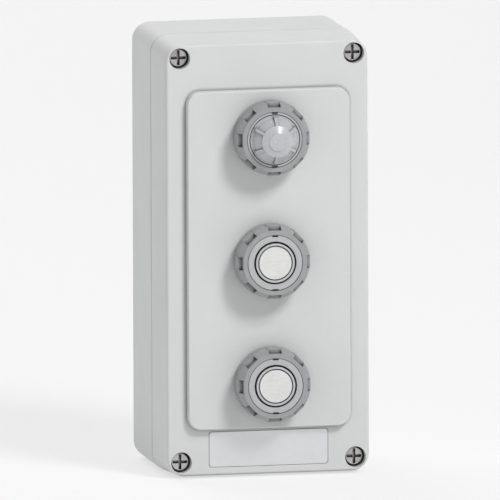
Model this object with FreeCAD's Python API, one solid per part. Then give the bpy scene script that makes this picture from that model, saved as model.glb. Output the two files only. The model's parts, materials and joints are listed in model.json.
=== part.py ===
import FreeCAD
import Part

import math
import os

# Control station: a moulded box for a wall, with an indicator lamp above two push-buttons.
# The wall is the plane Y = 0, the front faces -Y, X runs to the right and Z up.
# A depth is a distance in front of the wall, so a point at depth 60 lies at Y = -60.
# All sizes are in millimetres.

# Moulded box
SPLIT_WIDTH = 82.0
SPLIT_HEIGHT = 171.1
SPLIT_CORNER = 7.0
BACK_DRAFT = 0.25
COVER_DRAFT = 1.0
BASE_DEPTH = 35.75
SPLIT_GAP = 0.5
COVER_DEPTH = 24.25
WALL = 4.0
FLOOR = 4.0
COVER_FRONT_WALL = 3.5
BACK_EDGE_ROUND = 0.8
FACE_EDGE_ROUND = 1.1
COLUMN_WIDTH = 11.5
COLUMN_HEIGHT = 23.5
CAVITY_CORNER = 2.5

# Raised panel of the cover
PANEL_SIDE_MARGIN = 8.6
PANEL_END_MARGIN = 19.05
PANEL_RISE = 3.2
PANEL_CORNER = 5.2
PANEL_DRAFT = 0.3
PANEL_EDGE_ROUND = 0.5
PANEL_SKIN = 4.0
PANEL_CORE_MARGIN = 3.0

# Seal between base and cover
GASKET_WIDTH = 1.8
GASKET_LIP = 1.1
GROOVE_DEPTH = 2.0
SLIP = 0.05

# Cover screws, with their washers and threaded inserts
SCREW_SIDE_MARGIN = 6.5
SCREW_END_MARGIN = 6.35
SCREW_RADIUS = 2.0
SCREW_HEAD_RADIUS = 3.5
SCREW_HEAD_HEIGHT = 2.6
SCREW_HEAD_SINK = 3.0
SCREW_LENGTH = 26.0
SCREW_HOLE_CLEARANCE = 0.3
SCREW_WELL_CLEARANCE = 0.6
CROSS_ARM_WIDTH = 1.0
CROSS_ARM_MARGIN = 0.35
CROSS_DEPTH = 1.5
WASHER_RADIUS = 3.8
WASHER_THICKNESS = 0.8
INSERT_RADIUS = 2.8
INSERT_LENGTH = 8.0
THREAD_FIT = 0.02
SCREW_TIP_ROOM = 6.0

# Holes that fasten the base to the wall, each in a well beside a cover screw
FIXING_SIDE_MARGIN = 7.0
FIXING_END_MARGIN = 18.55
FIXING_HOLE_RADIUS = 2.4
FIXING_WELL_RADIUS = 4.1
FIXING_FLOOR = 5.0
COVER_CORE_DEPTH = 14.0

# Cable entry in the bottom wall
ENTRY_RADIUS = 10.1
ENTRY_DEPTH = 19.5

# Blank label
LABEL_WIDTH = 47.0
LABEL_HEIGHT = 13.7
LABEL_CORNER = 1.2
LABEL_END_MARGIN = 11.15
LABEL_THICKNESS = 0.9
LABEL_PROUD = 0.15
LABEL_CLEARANCE = 0.15

# Three stations on the panel, the outer ones at a distance from its ends
STATION_END_MARGIN = 18.2

# Threaded collar that carries a button or the lamp, and its seal on the panel
COLLAR_RADIUS = 10.9
COLLAR_BORE = 8.3
COLLAR_BORE_CHAMFER = 0.2
COLLAR_EDGE_CHAMFER = 0.3
COLLAR_HOLE_CLEARANCE = 0.3
COLLAR_FLANGE_RADIUS = 14.0
COLLAR_FLANGE_THICKNESS = 2.5
GUIDE_RADIUS = 7.0
GUIDE_LENGTH = 5.0
KEYWAY_WIDTH = 2.4
KEYWAY_SINK = 0.7
KEYWAY_DEPTH = 1.2
PANEL_SEAL_RADIUS = 13.4
PANEL_SEAL_THICKNESS = 1.2

# Clamp ring on the collar
RING_HEIGHT = 9.9
RING_NECK = 2.1
RING_FLANGE_RADIUS = 14.57
RING_FLANGE_EDGE = 0.5
RING_FLANGE_SLOPE = 0.5
RING_BODY_RADIUS = 14.25
RING_FACE_RADIUS = 12.7
RING_BEVEL = 2.1
NOTCH_COUNT = 8
NOTCH_WIDTH = 5.1
NOTCH_WALL_RADIUS = 12.6
NOTCH_DEPTH = 2.7
NOTCH_LUG_RADIUS = 14.3

# Push-button
TRAVEL = 4.0
HEAD_PROUD = 0.3
HEAD_RADIUS = 7.7
HEAD_LENGTH = 8.0
HEAD_TOP = 3.0
HEAD_WALL = 1.0
HEAD_EDGE_ROUND = 0.3
DISC_RADIUS = 6.4
DISC_GROOVE = 0.4
DISC_THICKNESS = 1.5
DISC_EDGE_ROUND = 0.2
STEM_RADIUS = 3.5
STEM_SPIGOT_RADIUS = 2.0
STEM_TO_PLUNGER = 0.2
RUNNING_CLEARANCE = 0.08
STEM_SEAL_RADIUS = 5.2
STEM_SEAL_LENGTH = 2.0

# Springs
RETURN_SPRING_RADIUS = 5.4
RETURN_SPRING_WIRE = 0.4
RETURN_SPRING_TURNS = 4
CONTACT_SPRING_RADIUS = 2.6
CONTACT_SPRING_WIRE = 0.3
CONTACT_SPRING_TURNS = 5
SPRING_SIDES = 5
SPRING_STEPS = 10

# Indicator lens and its seal
LENS_RADIUS = 9.7
LENS_SEAT_GAP = 0.3
LENS_RIM_HEIGHT = 3.0
LENS_STEP_RADIUS = 8.3
LENS_STEP_RISE = 1.5
LENS_BOSS_RADIUS = 6.15
LENS_BOSS_RISE = 5.2
LENS_TOP_RADIUS = 3.4
LENS_TOP_RISE = 6.7
LENS_SKIRT = 5.0
LENS_SKIRT_RADIUS = 8.3
LENS_WALL = 1.2
LENS_RIB_COUNT = 6
LENS_RIB_WIDTH = 1.25
LENS_RIB_RISE = 0.7
LENS_RIB_MARGIN = 0.25
LENS_SEAL_THICKNESS = 0.8

# Lamp in its socket
SOCKET_RADIUS = 5.0
SOCKET_WALL = 0.5
SOCKET_LENGTH = 18.0
LAMP_BASE_LENGTH = 17.0
LAMP_DOME_RADIUS = 4.2
LAMP_DOME_LENGTH = 9.0

# Rail inside the base
RAIL_WIDTH = 35.0
RAIL_WEB = 27.0
RAIL_DEPTH = 7.5
RAIL_SHEET = 1.0
RAIL_END_ROOM = 12.55
RAIL_BOSS_RADIUS = 5.0
RAIL_BOSS_HEIGHT = 3.0
RAIL_SCREW_RADIUS = 1.9
RAIL_SCREW_HEAD_RADIUS = 3.6
RAIL_SCREW_HEAD_HEIGHT = 2.2
RAIL_SCREW_LENGTH = 5.5

# Contact blocks and the lamp block, all on the rail
BLOCK_WIDTH = 42.0
BLOCK_LENGTH = 22.0
BLOCK_HEIGHT = 23.5
BLOCK_LID = 3.0
BLOCK_WALL = 2.0
BLOCK_FLOOR = 4.0
CHAMBER_WALL = 0.9
HOOK_REACH = 2.0
HOOK_THICKNESS = 1.6
HOOK_WALL = 2.4
HOOK_CLEARANCE = 0.1
PLUNGER_RADIUS = 3.0
PLUNGER_PROUD = 3.8
PIN_RADIUS = 1.5
BRIDGE_END_ROOM = 3.5
BRIDGE_WIDTH = 4.0
BRIDGE_THICKNESS = 0.8
BRIDGE_OVER_FLOOR = 11.0
CONTACT_GAP = 0.2
STRIP_WIDTH = 5.0
STRIP_THICKNESS = 0.8
STRIP_OVERLAP = 4.0
TERMINAL_MARGIN = 4.5
TERMINAL_WELL_RADIUS = 2.6
TERMINAL_SCREW_RADIUS = 1.5
TERMINAL_HEAD_RADIUS = 2.4
TERMINAL_HEAD_HEIGHT = 1.8
TERMINAL_SCREW_LENGTH = 3.0
SLOT_WIDTH = 0.6
SLOT_DEPTH = 0.8

# Earth terminal beside the cable entry
EARTH_RAIL_GAP = 0.5
EARTH_END_ROOM = 15.55
EARTH_PLATE = 7.2
EARTH_SHEET = 1.0
EARTH_BOSS_RADIUS = 3.6
EARTH_BOSS_HEIGHT = 3.0
EARTH_SCREW_LENGTH = 5.0

# Depths that follow from the sizes above
RIM = BASE_DEPTH
COVER_RIM = BASE_DEPTH + SPLIT_GAP
FACE = COVER_RIM + COVER_DEPTH
PANEL = FACE + PANEL_RISE
COVER_INSIDE = FACE - COVER_FRONT_WALL
PANEL_INSIDE = PANEL - PANEL_SKIN
RING_SEAT = PANEL + PANEL_SEAL_THICKNESS
RING_TOP = RING_SEAT + RING_HEIGHT
COLLAR_REAR = PANEL_INSIDE - COLLAR_FLANGE_THICKNESS
GUIDE_REAR = COLLAR_REAR - GUIDE_LENGTH
BUTTON_TOP = RING_TOP + HEAD_PROUD
HEAD_UNDERSIDE = BUTTON_TOP - HEAD_TOP
HEAD_REAR = BUTTON_TOP - HEAD_LENGTH
DISC_SEAT = BUTTON_TOP - DISC_THICKNESS
SCREW_SEAT = FACE - SCREW_HEAD_SINK - SCREW_HEAD_HEIGHT
RAIL_BACK = FLOOR + RAIL_BOSS_HEIGHT
RAIL_FRONT = RAIL_BACK + RAIL_DEPTH
BLOCK_FRONT = RAIL_FRONT + BLOCK_HEIGHT
BLOCK_INSIDE = RAIL_FRONT + BLOCK_FLOOR
LID_BACK = BLOCK_FRONT - BLOCK_LID
BRIDGE_BACK = BLOCK_INSIDE + BRIDGE_OVER_FLOOR
BRIDGE_FRONT = BRIDGE_BACK + BRIDGE_THICKNESS
STRIP_FRONT = BRIDGE_BACK - TRAVEL - CONTACT_GAP
STRIP_BACK = STRIP_FRONT - STRIP_THICKNESS
PLUNGER_TOP = BLOCK_FRONT + PLUNGER_PROUD
STEM_REAR = PLUNGER_TOP + STEM_TO_PLUNGER

# Widths, heights and places that follow from the sizes above
CAVITY_HALF_WIDTH = SPLIT_WIDTH / 2 - WALL
CAVITY_HALF_HEIGHT = SPLIT_HEIGHT / 2 - WALL
PANEL_WIDTH = SPLIT_WIDTH - 2 * PANEL_SIDE_MARGIN
PANEL_HEIGHT = SPLIT_HEIGHT - 2 * PANEL_END_MARGIN
SCREW_X = SPLIT_WIDTH / 2 - SCREW_SIDE_MARGIN
SCREW_Z = SPLIT_HEIGHT / 2 - SCREW_END_MARGIN
FIXING_X = SPLIT_WIDTH / 2 - FIXING_SIDE_MARGIN
FIXING_Z = SPLIT_HEIGHT / 2 - FIXING_END_MARGIN
LABEL_Z = LABEL_END_MARGIN - SPLIT_HEIGHT / 2
PITCH = PANEL_HEIGHT / 2 - STATION_END_MARGIN
RAIL_LENGTH = 2 * (CAVITY_HALF_HEIGHT - RAIL_END_ROOM)
RAIL_SCREW_Z = PITCH / 2
TERMINAL_X = BLOCK_WIDTH / 2 - TERMINAL_MARGIN
CHAMBER_WIDTH = 2 * (TERMINAL_X - TERMINAL_WELL_RADIUS - CHAMBER_WALL)
BRIDGE_LENGTH = CHAMBER_WIDTH - 2 * BRIDGE_END_ROOM
STRIP_INNER_X = BRIDGE_LENGTH / 2 - STRIP_OVERLAP
EARTH_X = RAIL_WEB / 2 + EARTH_RAIL_GAP + EARTH_PLATE / 2
EARTH_Z = EARTH_END_ROOM - CAVITY_HALF_HEIGHT

STATIONS = {"top": PITCH, "middle": 0.0, "bottom": -PITCH}
BUTTONS = ("middle", "bottom")
SIDES = (-1, 1)
FORWARD = FreeCAD.Vector(0, -1, 0)
SAME_DEPTH = 1e-4


def at(x, depth, z):
    """A point at a distance in front of the wall."""
    return FreeCAD.Vector(x, -depth, z)


def rectangle(half_width, half_height, z=0.0):
    """Corners of an upright rectangle, as (x, z) pairs."""
    return [
        (-half_width, z - half_height),
        (half_width, z - half_height),
        (half_width, z + half_height),
        (-half_width, z + half_height),
    ]


def notched_rectangle(half_width, half_height, notch_width, notch_height):
    """Corners of an upright rectangle that leaves out a notch at each of its four corners."""
    inner_x = half_width - notch_width
    inner_z = half_height - notch_height
    quarter = [(half_width, inner_z), (inner_x, inner_z), (inner_x, half_height)]
    corners = []
    for side_x, side_z in ((1, 1), (-1, 1), (-1, -1), (1, -1)):
        turned_quarter = [(side_x * x, side_z * z) for x, z in quarter]
        if side_x != side_z:
            turned_quarter.reverse()
        corners.extend(turned_quarter)
    return corners


def rounded_wire(corners, radius, depth):
    """A closed wire through the corners at one depth, each corner rounded by the radius."""
    points = [at(x, depth, z) for x, z in corners]
    arcs = []
    for index, corner in enumerate(points):
        back = (points[index - 1] - corner).normalize()
        ahead = (points[(index + 1) % len(points)] - corner).normalize()
        half_angle = back.getAngle(ahead) / 2
        reach = radius / math.tan(half_angle)
        middle = corner + (back + ahead).normalize() * (radius / math.sin(half_angle) - radius)
        arcs.append((corner + back * reach, middle, corner + ahead * reach))
    edges = []
    for index, (start, middle, end) in enumerate(arcs):
        edges.append(Part.LineSegment(arcs[index - 1][2], start).toShape())
        edges.append(Part.Arc(start, middle, end).toShape())
    return Part.Wire(edges)


def slab(corners, radius, back, front):
    """A plate with rounded corners between two depths."""
    return Part.Face(rounded_wire(corners, radius, back)).extrude(FORWARD * (front - back))


def block(x_range, z_range, back, front):
    """A plain box between two x values, two z values and two depths."""
    corner = at(x_range[0], front, z_range[0])
    return Part.makeBox(x_range[1] - x_range[0], front - back, z_range[1] - z_range[0], corner)


def rod(radius, back, front, x=0.0, z=0.0):
    """A round rod that points at the viewer, between two depths."""
    return Part.makeCylinder(radius, front - back, at(x, back, z), FORWARD)


def tube(outer, inner, back, front, x=0.0, z=0.0):
    """A round tube that points at the viewer, between two depths."""
    return rod(outer, back, front, x, z).cut(rod(inner, back, front, x, z))


def turned(profile, z):
    """A solid turned about a station's axis from (radius, depth) points."""
    points = [at(radius, depth, 0) for radius, depth in profile]
    face = Part.Face(Part.makePolygon(points + [points[0]]))
    solid = face.revolve(FreeCAD.Vector(0, 0, 0), FORWARD, 360)
    solid.translate(FreeCAD.Vector(0, 0, z))
    return solid


def around(shape, count, z, start=0.0):
    """Copies of a shape spaced evenly about a station's axis."""
    copies = []
    for index in range(count):
        copy = shape.copy()
        copy.rotate(at(0, 0, z), FORWARD, start + index * 360 / count)
        copies.append(copy)
    return copies


def four_corners(x, z):
    """The four places that mirror one place left to right and top to bottom."""
    return [(side_x * x, side_z * z) for side_x in SIDES for side_z in SIDES]


def rounded_edges(shape, depth, radius):
    """The shape with every edge that lies at one depth rounded."""
    edges = []
    for edge in shape.Edges:
        box = edge.BoundBox
        if abs(box.YMin + depth) < SAME_DEPTH and abs(box.YMax + depth) < SAME_DEPTH:
            edges.append(edge)
    return shape.makeFillet(radius, edges)


def coil_spring(radius, wire, turns, back, front, z):
    """A coil spring between two depths, with its end turns just inside them."""
    points = []
    steps = turns * SPRING_STEPS
    for step in range(steps + 1):
        angle = 2 * math.pi * step / SPRING_STEPS
        depth = back + wire + (front - back - 2 * wire) * step / steps
        points.append(at(radius * math.cos(angle), depth, z + radius * math.sin(angle)))
    section = []
    for side in range(SPRING_SIDES + 1):
        angle = 2 * math.pi * side / SPRING_SIDES
        section.append(points[0] + FreeCAD.Vector(wire * math.cos(angle), wire * math.sin(angle), 0))
    path = Part.makePolygon(points)
    return path.makePipeShell([Part.makePolygon(section)], True, False, 1)


def slotted_screw(head_radius, head_height, shank_radius, length, seat, x, z):
    """A cheese-head screw with a straight slot, its head seated at a depth."""
    head_top = seat + head_height
    screw = rod(head_radius, seat, head_top, x, z)
    screw = screw.fuse(rod(shank_radius, seat - length, seat, x, z))
    slot_x = (x - head_radius, x + head_radius)
    slot_z = (z - SLOT_WIDTH / 2, z + SLOT_WIDTH / 2)
    return screw.cut(block(slot_x, slot_z, head_top - SLOT_DEPTH, head_top))


def cavity_outline(growth=0.0):
    """Corners of the inside of the box, which leaves room for the four corner columns."""
    return notched_rectangle(
        CAVITY_HALF_WIDTH + growth, CAVITY_HALF_HEIGHT + growth, COLUMN_WIDTH, COLUMN_HEIGHT
    )


def base_housing():
    """The rear shell with its corner columns, rail bosses, wall fixings and cable entry."""
    back = rectangle(SPLIT_WIDTH / 2 - BACK_DRAFT, SPLIT_HEIGHT / 2 - BACK_DRAFT)
    split = rectangle(SPLIT_WIDTH / 2, SPLIT_HEIGHT / 2)
    back_wire = rounded_wire(back, SPLIT_CORNER - BACK_DRAFT, 0)
    split_wire = rounded_wire(split, SPLIT_CORNER, RIM)
    shell = Part.makeLoft([back_wire, split_wire], True, True)
    shell = rounded_edges(shell, 0, BACK_EDGE_ROUND)
    shell = shell.cut(slab(cavity_outline(), CAVITY_CORNER, FLOOR, RIM))
    bosses = [rod(RAIL_BOSS_RADIUS, FLOOR, RAIL_BACK, 0, side * RAIL_SCREW_Z) for side in SIDES]
    bosses.append(rod(EARTH_BOSS_RADIUS, FLOOR, FLOOR + EARTH_BOSS_HEIGHT, EARTH_X, EARTH_Z))
    shell = shell.fuse(bosses)
    holes = []
    for x, z in four_corners(SCREW_X, SCREW_Z):
        holes.append(rod(INSERT_RADIUS + THREAD_FIT, RIM - INSERT_LENGTH, RIM, x, z))
        tip = SCREW_SEAT - SCREW_LENGTH
        holes.append(rod(SCREW_RADIUS + SCREW_HOLE_CLEARANCE, tip - SCREW_TIP_ROOM, RIM, x, z))
    for x, z in four_corners(FIXING_X, FIXING_Z):
        holes.append(rod(FIXING_HOLE_RADIUS, 0, RIM, x, z))
        holes.append(rod(FIXING_WELL_RADIUS, FIXING_FLOOR, RIM, x, z))
    for side in SIDES:
        screw_end = RAIL_BACK + RAIL_SHEET - RAIL_SCREW_LENGTH
        hole = rod(RAIL_SCREW_RADIUS + THREAD_FIT, screw_end, RAIL_BACK, 0, side * RAIL_SCREW_Z)
        holes.append(hole)
    earth_seat = FLOOR + EARTH_BOSS_HEIGHT
    earth_end = earth_seat + EARTH_SHEET - EARTH_SCREW_LENGTH
    holes.append(rod(RAIL_SCREW_RADIUS + THREAD_FIT, earth_end, earth_seat, EARTH_X, EARTH_Z))
    entry_start = at(0, ENTRY_DEPTH, -SPLIT_HEIGHT / 2 - WALL)
    holes.append(Part.makeCylinder(ENTRY_RADIUS, 2 * WALL, entry_start))
    return shell.cut(holes)


def front_cover():
    """The front shell with its raised panel, screw wells, seal groove and label recess."""
    split = rectangle(SPLIT_WIDTH / 2, SPLIT_HEIGHT / 2)
    face = rectangle(SPLIT_WIDTH / 2 - COVER_DRAFT, SPLIT_HEIGHT / 2 - COVER_DRAFT)
    split_wire = rounded_wire(split, SPLIT_CORNER, COVER_RIM)
    face_wire = rounded_wire(face, SPLIT_CORNER - COVER_DRAFT, FACE)
    shell = Part.makeLoft([split_wire, face_wire], True, True)
    shell = rounded_edges(shell, FACE, FACE_EDGE_ROUND)
    panel_base = rectangle(PANEL_WIDTH / 2, PANEL_HEIGHT / 2)
    panel_top = rectangle(PANEL_WIDTH / 2 - PANEL_DRAFT, PANEL_HEIGHT / 2 - PANEL_DRAFT)
    base_wire = rounded_wire(panel_base, PANEL_CORNER, FACE)
    top_wire = rounded_wire(panel_top, PANEL_CORNER - PANEL_DRAFT, PANEL)
    panel = Part.makeLoft([base_wire, top_wire], True, True)
    shell = shell.fuse(rounded_edges(panel, PANEL, PANEL_EDGE_ROUND))
    shell = shell.cut(slab(cavity_outline(), CAVITY_CORNER, COVER_RIM, COVER_INSIDE))
    core_half_width = min(PANEL_WIDTH / 2 - PANEL_CORE_MARGIN, CAVITY_HALF_WIDTH - COLUMN_WIDTH)
    core_half_height = PANEL_HEIGHT / 2 - PANEL_CORE_MARGIN
    core = rectangle(core_half_width, core_half_height)
    cuts = [slab(core, CAVITY_CORNER, COVER_INSIDE, PANEL_INSIDE)]
    groove_front = COVER_RIM + GROOVE_DEPTH
    groove = slab(cavity_outline(GASKET_LIP + GASKET_WIDTH), CAVITY_CORNER, COVER_RIM, groove_front)
    island = slab(cavity_outline(GASKET_LIP), CAVITY_CORNER, COVER_RIM, groove_front)
    cuts.append(groove.cut(island))
    for x, z in four_corners(SCREW_X, SCREW_Z):
        cuts.append(rod(SCREW_RADIUS + SCREW_HOLE_CLEARANCE, COVER_RIM, FACE, x, z))
        well_floor = SCREW_SEAT - WASHER_THICKNESS
        cuts.append(rod(SCREW_HEAD_RADIUS + SCREW_WELL_CLEARANCE, well_floor, FACE, x, z))
    for x, z in four_corners(FIXING_X, FIXING_Z):
        cuts.append(rod(FIXING_WELL_RADIUS, COVER_RIM, COVER_RIM + COVER_CORE_DEPTH, x, z))
    for z in STATIONS.values():
        cuts.append(rod(COLLAR_RADIUS + COLLAR_HOLE_CLEARANCE, PANEL_INSIDE, PANEL, 0, z))
    label_half_width = LABEL_WIDTH / 2 + LABEL_CLEARANCE
    label_half_height = LABEL_HEIGHT / 2 + LABEL_CLEARANCE
    recess = rectangle(label_half_width, label_half_height, LABEL_Z)
    cuts.append(slab(recess, LABEL_CORNER, FACE + LABEL_PROUD - LABEL_THICKNESS, FACE))
    return shell.cut(cuts)


def cover_gasket():
    """The soft seal that fills the cover's groove and rests on the rim of the base."""
    outer = cavity_outline(GASKET_LIP + GASKET_WIDTH - SLIP)
    inner = cavity_outline(GASKET_LIP + SLIP)
    front = COVER_RIM + GROOVE_DEPTH
    return slab(outer, CAVITY_CORNER, RIM, front).cut(slab(inner, CAVITY_CORNER, RIM, front))


def cover_screw(x, z):
    """A cover screw with a cross recess in its cheese head."""
    head_top = SCREW_SEAT + SCREW_HEAD_HEIGHT
    screw = rod(SCREW_HEAD_RADIUS, SCREW_SEAT, head_top, x, z)
    screw = screw.fuse(rod(SCREW_RADIUS, SCREW_SEAT - SCREW_LENGTH, SCREW_SEAT, x, z))
    arm = SCREW_HEAD_RADIUS - CROSS_ARM_MARGIN
    half = CROSS_ARM_WIDTH / 2
    floor = head_top - CROSS_DEPTH
    level = block((x - arm, x + arm), (z - half, z + half), floor, head_top)
    upright = block((x - half, x + half), (z - arm, z + arm), floor, head_top)
    return screw.cut([level, upright])


def cover_screws():
    """The four cover screws."""
    return [cover_screw(x, z) for x, z in four_corners(SCREW_X, SCREW_Z)]


def screw_washers():
    """The sealing washers under the heads of the cover screws."""
    inner = SCREW_RADIUS + SLIP
    back = SCREW_SEAT - WASHER_THICKNESS
    return [tube(WASHER_RADIUS, inner, back, SCREW_SEAT, x, z) for x, z in four_corners(SCREW_X, SCREW_Z)]


def threaded_inserts():
    """The metal inserts in the base that take the cover screws."""
    inner = SCREW_RADIUS + THREAD_FIT
    back = RIM - INSERT_LENGTH
    return [tube(INSERT_RADIUS, inner, back, RIM, x, z) for x, z in four_corners(SCREW_X, SCREW_Z)]


def label_plate():
    """The blank label in its recess under the panel."""
    back = FACE + LABEL_PROUD - LABEL_THICKNESS
    outline = rectangle(LABEL_WIDTH / 2, LABEL_HEIGHT / 2, LABEL_Z)
    return slab(outline, LABEL_CORNER, back, FACE + LABEL_PROUD)


def collar_profile(rear_profile, mouth_profile):
    """The (radius, depth) outline of a collar between its rear end and its mouth."""
    outside = [
        (COLLAR_FLANGE_RADIUS, COLLAR_REAR),
        (COLLAR_FLANGE_RADIUS, PANEL_INSIDE),
        (COLLAR_RADIUS, PANEL_INSIDE),
        (COLLAR_RADIUS, RING_TOP - COLLAR_EDGE_CHAMFER),
        (COLLAR_RADIUS - COLLAR_EDGE_CHAMFER, RING_TOP),
    ]
    return rear_profile + outside + mouth_profile


def with_keyways(collar, z):
    """The collar with a small keyway at the top and at the bottom of its front edge."""
    half = KEYWAY_WIDTH / 2
    lowest = COLLAR_RADIUS - KEYWAY_SINK
    key = block((-half, half), (z + lowest, z + COLLAR_RADIUS), RING_TOP - KEYWAY_DEPTH, RING_TOP)
    return collar.cut(around(key, 2, z))


def button_collar(z):
    """The threaded collar of a push-button, with the guide of its stem at the rear."""
    guide = STEM_RADIUS + RUNNING_CLEARANCE
    seal_front = GUIDE_REAR + STEM_SEAL_LENGTH
    rear = [
        (guide, PANEL_INSIDE),
        (guide, seal_front),
        (STEM_SEAL_RADIUS, seal_front),
        (STEM_SEAL_RADIUS, GUIDE_REAR),
        (GUIDE_RADIUS, GUIDE_REAR),
        (GUIDE_RADIUS, COLLAR_REAR),
    ]
    mouth = [
        (COLLAR_BORE + COLLAR_BORE_CHAMFER, RING_TOP),
        (COLLAR_BORE, RING_TOP - COLLAR_BORE_CHAMFER),
        (COLLAR_BORE, PANEL_INSIDE),
    ]
    return with_keyways(turned(collar_profile(rear, mouth), z), z)


def lamp_collar(z):
    """The threaded collar of the lamp, open at the rear, with a seat for the lens."""
    seat_radius = LENS_RADIUS + LENS_SEAT_GAP
    seat = RING_TOP - LENS_RIM_HEIGHT - LENS_SEAL_THICKNESS
    bore = LENS_SKIRT_RADIUS + LENS_SEAT_GAP
    rear = [(bore, COLLAR_REAR)]
    mouth = [(seat_radius, RING_TOP), (seat_radius, seat), (bore, seat)]
    return with_keyways(turned(collar_profile(rear, mouth), z), z)


def panel_seal(z):
    """The flat seal between a clamp ring and the panel."""
    return tube(PANEL_SEAL_RADIUS, COLLAR_RADIUS + SLIP, PANEL, RING_SEAT, 0, z)


def clamp_ring(z):
    """The ring that clamps a collar to the panel, each spanner notch in its bevel over a flat lug."""
    bore = COLLAR_RADIUS + SLIP
    flange = RING_SEAT + RING_NECK
    flange_edge = flange + RING_FLANGE_EDGE
    profile = [
        (bore, RING_SEAT),
        (PANEL_SEAL_RADIUS, RING_SEAT),
        (PANEL_SEAL_RADIUS, flange),
        (RING_FLANGE_RADIUS, flange),
        (RING_FLANGE_RADIUS, flange_edge),
        (RING_BODY_RADIUS, flange_edge + RING_FLANGE_SLOPE),
        (RING_BODY_RADIUS, RING_TOP - RING_BEVEL),
        (RING_FACE_RADIUS, RING_TOP),
        (bore, RING_TOP),
    ]
    ring = turned(profile, z)
    half = NOTCH_WIDTH / 2
    wall = z + NOTCH_WALL_RADIUS
    floor = RING_TOP - NOTCH_DEPTH
    lug = block((-half, half), (wall, z + NOTCH_LUG_RADIUS), flange_edge, floor)
    notch = block((-half, half), (wall, z + RING_FLANGE_RADIUS), floor, RING_TOP)
    return ring.fuse(around(lug, NOTCH_COUNT, z)).cut(around(notch, NOTCH_COUNT, z))


def button_head(z):
    """The moving head of a push-button: a cup with a recess for its coloured disc."""
    recess = DISC_RADIUS + DISC_GROOVE
    spigot_hole = STEM_SPIGOT_RADIUS + THREAD_FIT
    skirt = HEAD_RADIUS - HEAD_WALL
    profile = [
        (spigot_hole, HEAD_UNDERSIDE),
        (skirt, HEAD_UNDERSIDE),
        (skirt, HEAD_REAR),
        (HEAD_RADIUS, HEAD_REAR),
        (HEAD_RADIUS, BUTTON_TOP - HEAD_EDGE_ROUND),
        (HEAD_RADIUS - HEAD_EDGE_ROUND, BUTTON_TOP),
        (recess, BUTTON_TOP),
        (recess, DISC_SEAT),
        (spigot_hole, DISC_SEAT),
    ]
    return turned(profile, z)


def button_disc(z):
    """The blank coloured disc in the face of a push-button."""
    profile = [
        (0, DISC_SEAT),
        (DISC_RADIUS, DISC_SEAT),
        (DISC_RADIUS, BUTTON_TOP - DISC_EDGE_ROUND),
        (DISC_RADIUS - DISC_EDGE_ROUND, BUTTON_TOP),
        (0, BUTTON_TOP),
    ]
    return turned(profile, z)


def button_stem(z):
    """The rod that passes a push on the head through the collar to the contact block."""
    return rod(STEM_RADIUS, STEM_REAR, HEAD_UNDERSIDE, 0, z).fuse(
        rod(STEM_SPIGOT_RADIUS, HEAD_UNDERSIDE, DISC_SEAT, 0, z)
    )


def stem_seal(z):
    """The wiper seal round a stem at the rear of its collar."""
    inner = STEM_RADIUS + RUNNING_CLEARANCE
    outer = STEM_SEAL_RADIUS - SLIP
    return tube(outer, inner, GUIDE_REAR, GUIDE_REAR + STEM_SEAL_LENGTH, 0, z)


def return_spring(z):
    """The spring that lifts a push-button's head."""
    return coil_spring(
        RETURN_SPRING_RADIUS, RETURN_SPRING_WIRE, RETURN_SPRING_TURNS, PANEL_INSIDE, HEAD_UNDERSIDE, z
    )


def lamp_lens(z):
    """The hollow lens of the lamp, a flat-topped dome with six grip ribs."""
    top = RING_TOP + LENS_TOP_RISE
    boss = RING_TOP + LENS_BOSS_RISE
    step = RING_TOP + LENS_STEP_RISE
    rim_back = RING_TOP - LENS_RIM_HEIGHT
    skirt_back = rim_back - LENS_SKIRT
    inner = LENS_SKIRT_RADIUS - LENS_WALL
    outline = [
        (0, top),
        (LENS_TOP_RADIUS, top),
        (LENS_BOSS_RADIUS, boss),
        (LENS_STEP_RADIUS, step),
        (LENS_RADIUS, RING_TOP),
        (LENS_RADIUS, rim_back),
        (LENS_SKIRT_RADIUS, rim_back),
        (LENS_SKIRT_RADIUS, skirt_back),
        (inner, skirt_back),
        (inner, RING_TOP),
        (LENS_BOSS_RADIUS - LENS_WALL, boss - LENS_WALL),
        (LENS_TOP_RADIUS - LENS_WALL, top - LENS_WALL),
        (0, top - LENS_WALL),
    ]
    lens = turned(outline, z)
    rib_start = LENS_BOSS_RADIUS - LENS_WALL / 2
    rib_end = LENS_RADIUS - LENS_RIB_MARGIN
    rib_profile = [
        (rib_start, RING_TOP),
        (rib_end, RING_TOP),
        (LENS_STEP_RADIUS + LENS_RIB_RISE, step + LENS_RIB_RISE),
        (rib_start, boss),
    ]
    half = LENS_RIB_WIDTH / 2
    points = [at(-half, depth, z + radius) for radius, depth in rib_profile]
    rib = Part.Face(Part.makePolygon(points + [points[0]])).extrude(FreeCAD.Vector(LENS_RIB_WIDTH, 0, 0))
    return lens.fuse(around(rib, LENS_RIB_COUNT, z))


def lens_seal(z):
    """The soft ring between the lens and its seat in the collar."""
    rim_back = RING_TOP - LENS_RIM_HEIGHT
    inner = LENS_SKIRT_RADIUS + SLIP
    return tube(LENS_RADIUS, inner, rim_back - LENS_SEAL_THICKNESS, rim_back, 0, z)


def rail_hook(side, z):
    """A hook of a block, which grips one edge of the rail."""
    edge = RAIL_WIDTH / 2
    outer = edge + HOOK_CLEARANCE + HOOK_WALL
    lip_front = RAIL_FRONT - RAIL_SHEET - HOOK_CLEARANCE
    lip_back = lip_front - HOOK_THICKNESS
    z_range = (z - BLOCK_LENGTH / 2, z + BLOCK_LENGTH / 2)
    wall_x = sorted((side * (edge + HOOK_CLEARANCE), side * outer))
    lip_x = sorted((side * (edge - HOOK_REACH), side * outer))
    wall = block(wall_x, z_range, lip_back, RAIL_FRONT)
    return wall.fuse(block(lip_x, z_range, lip_back, lip_front))


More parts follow.
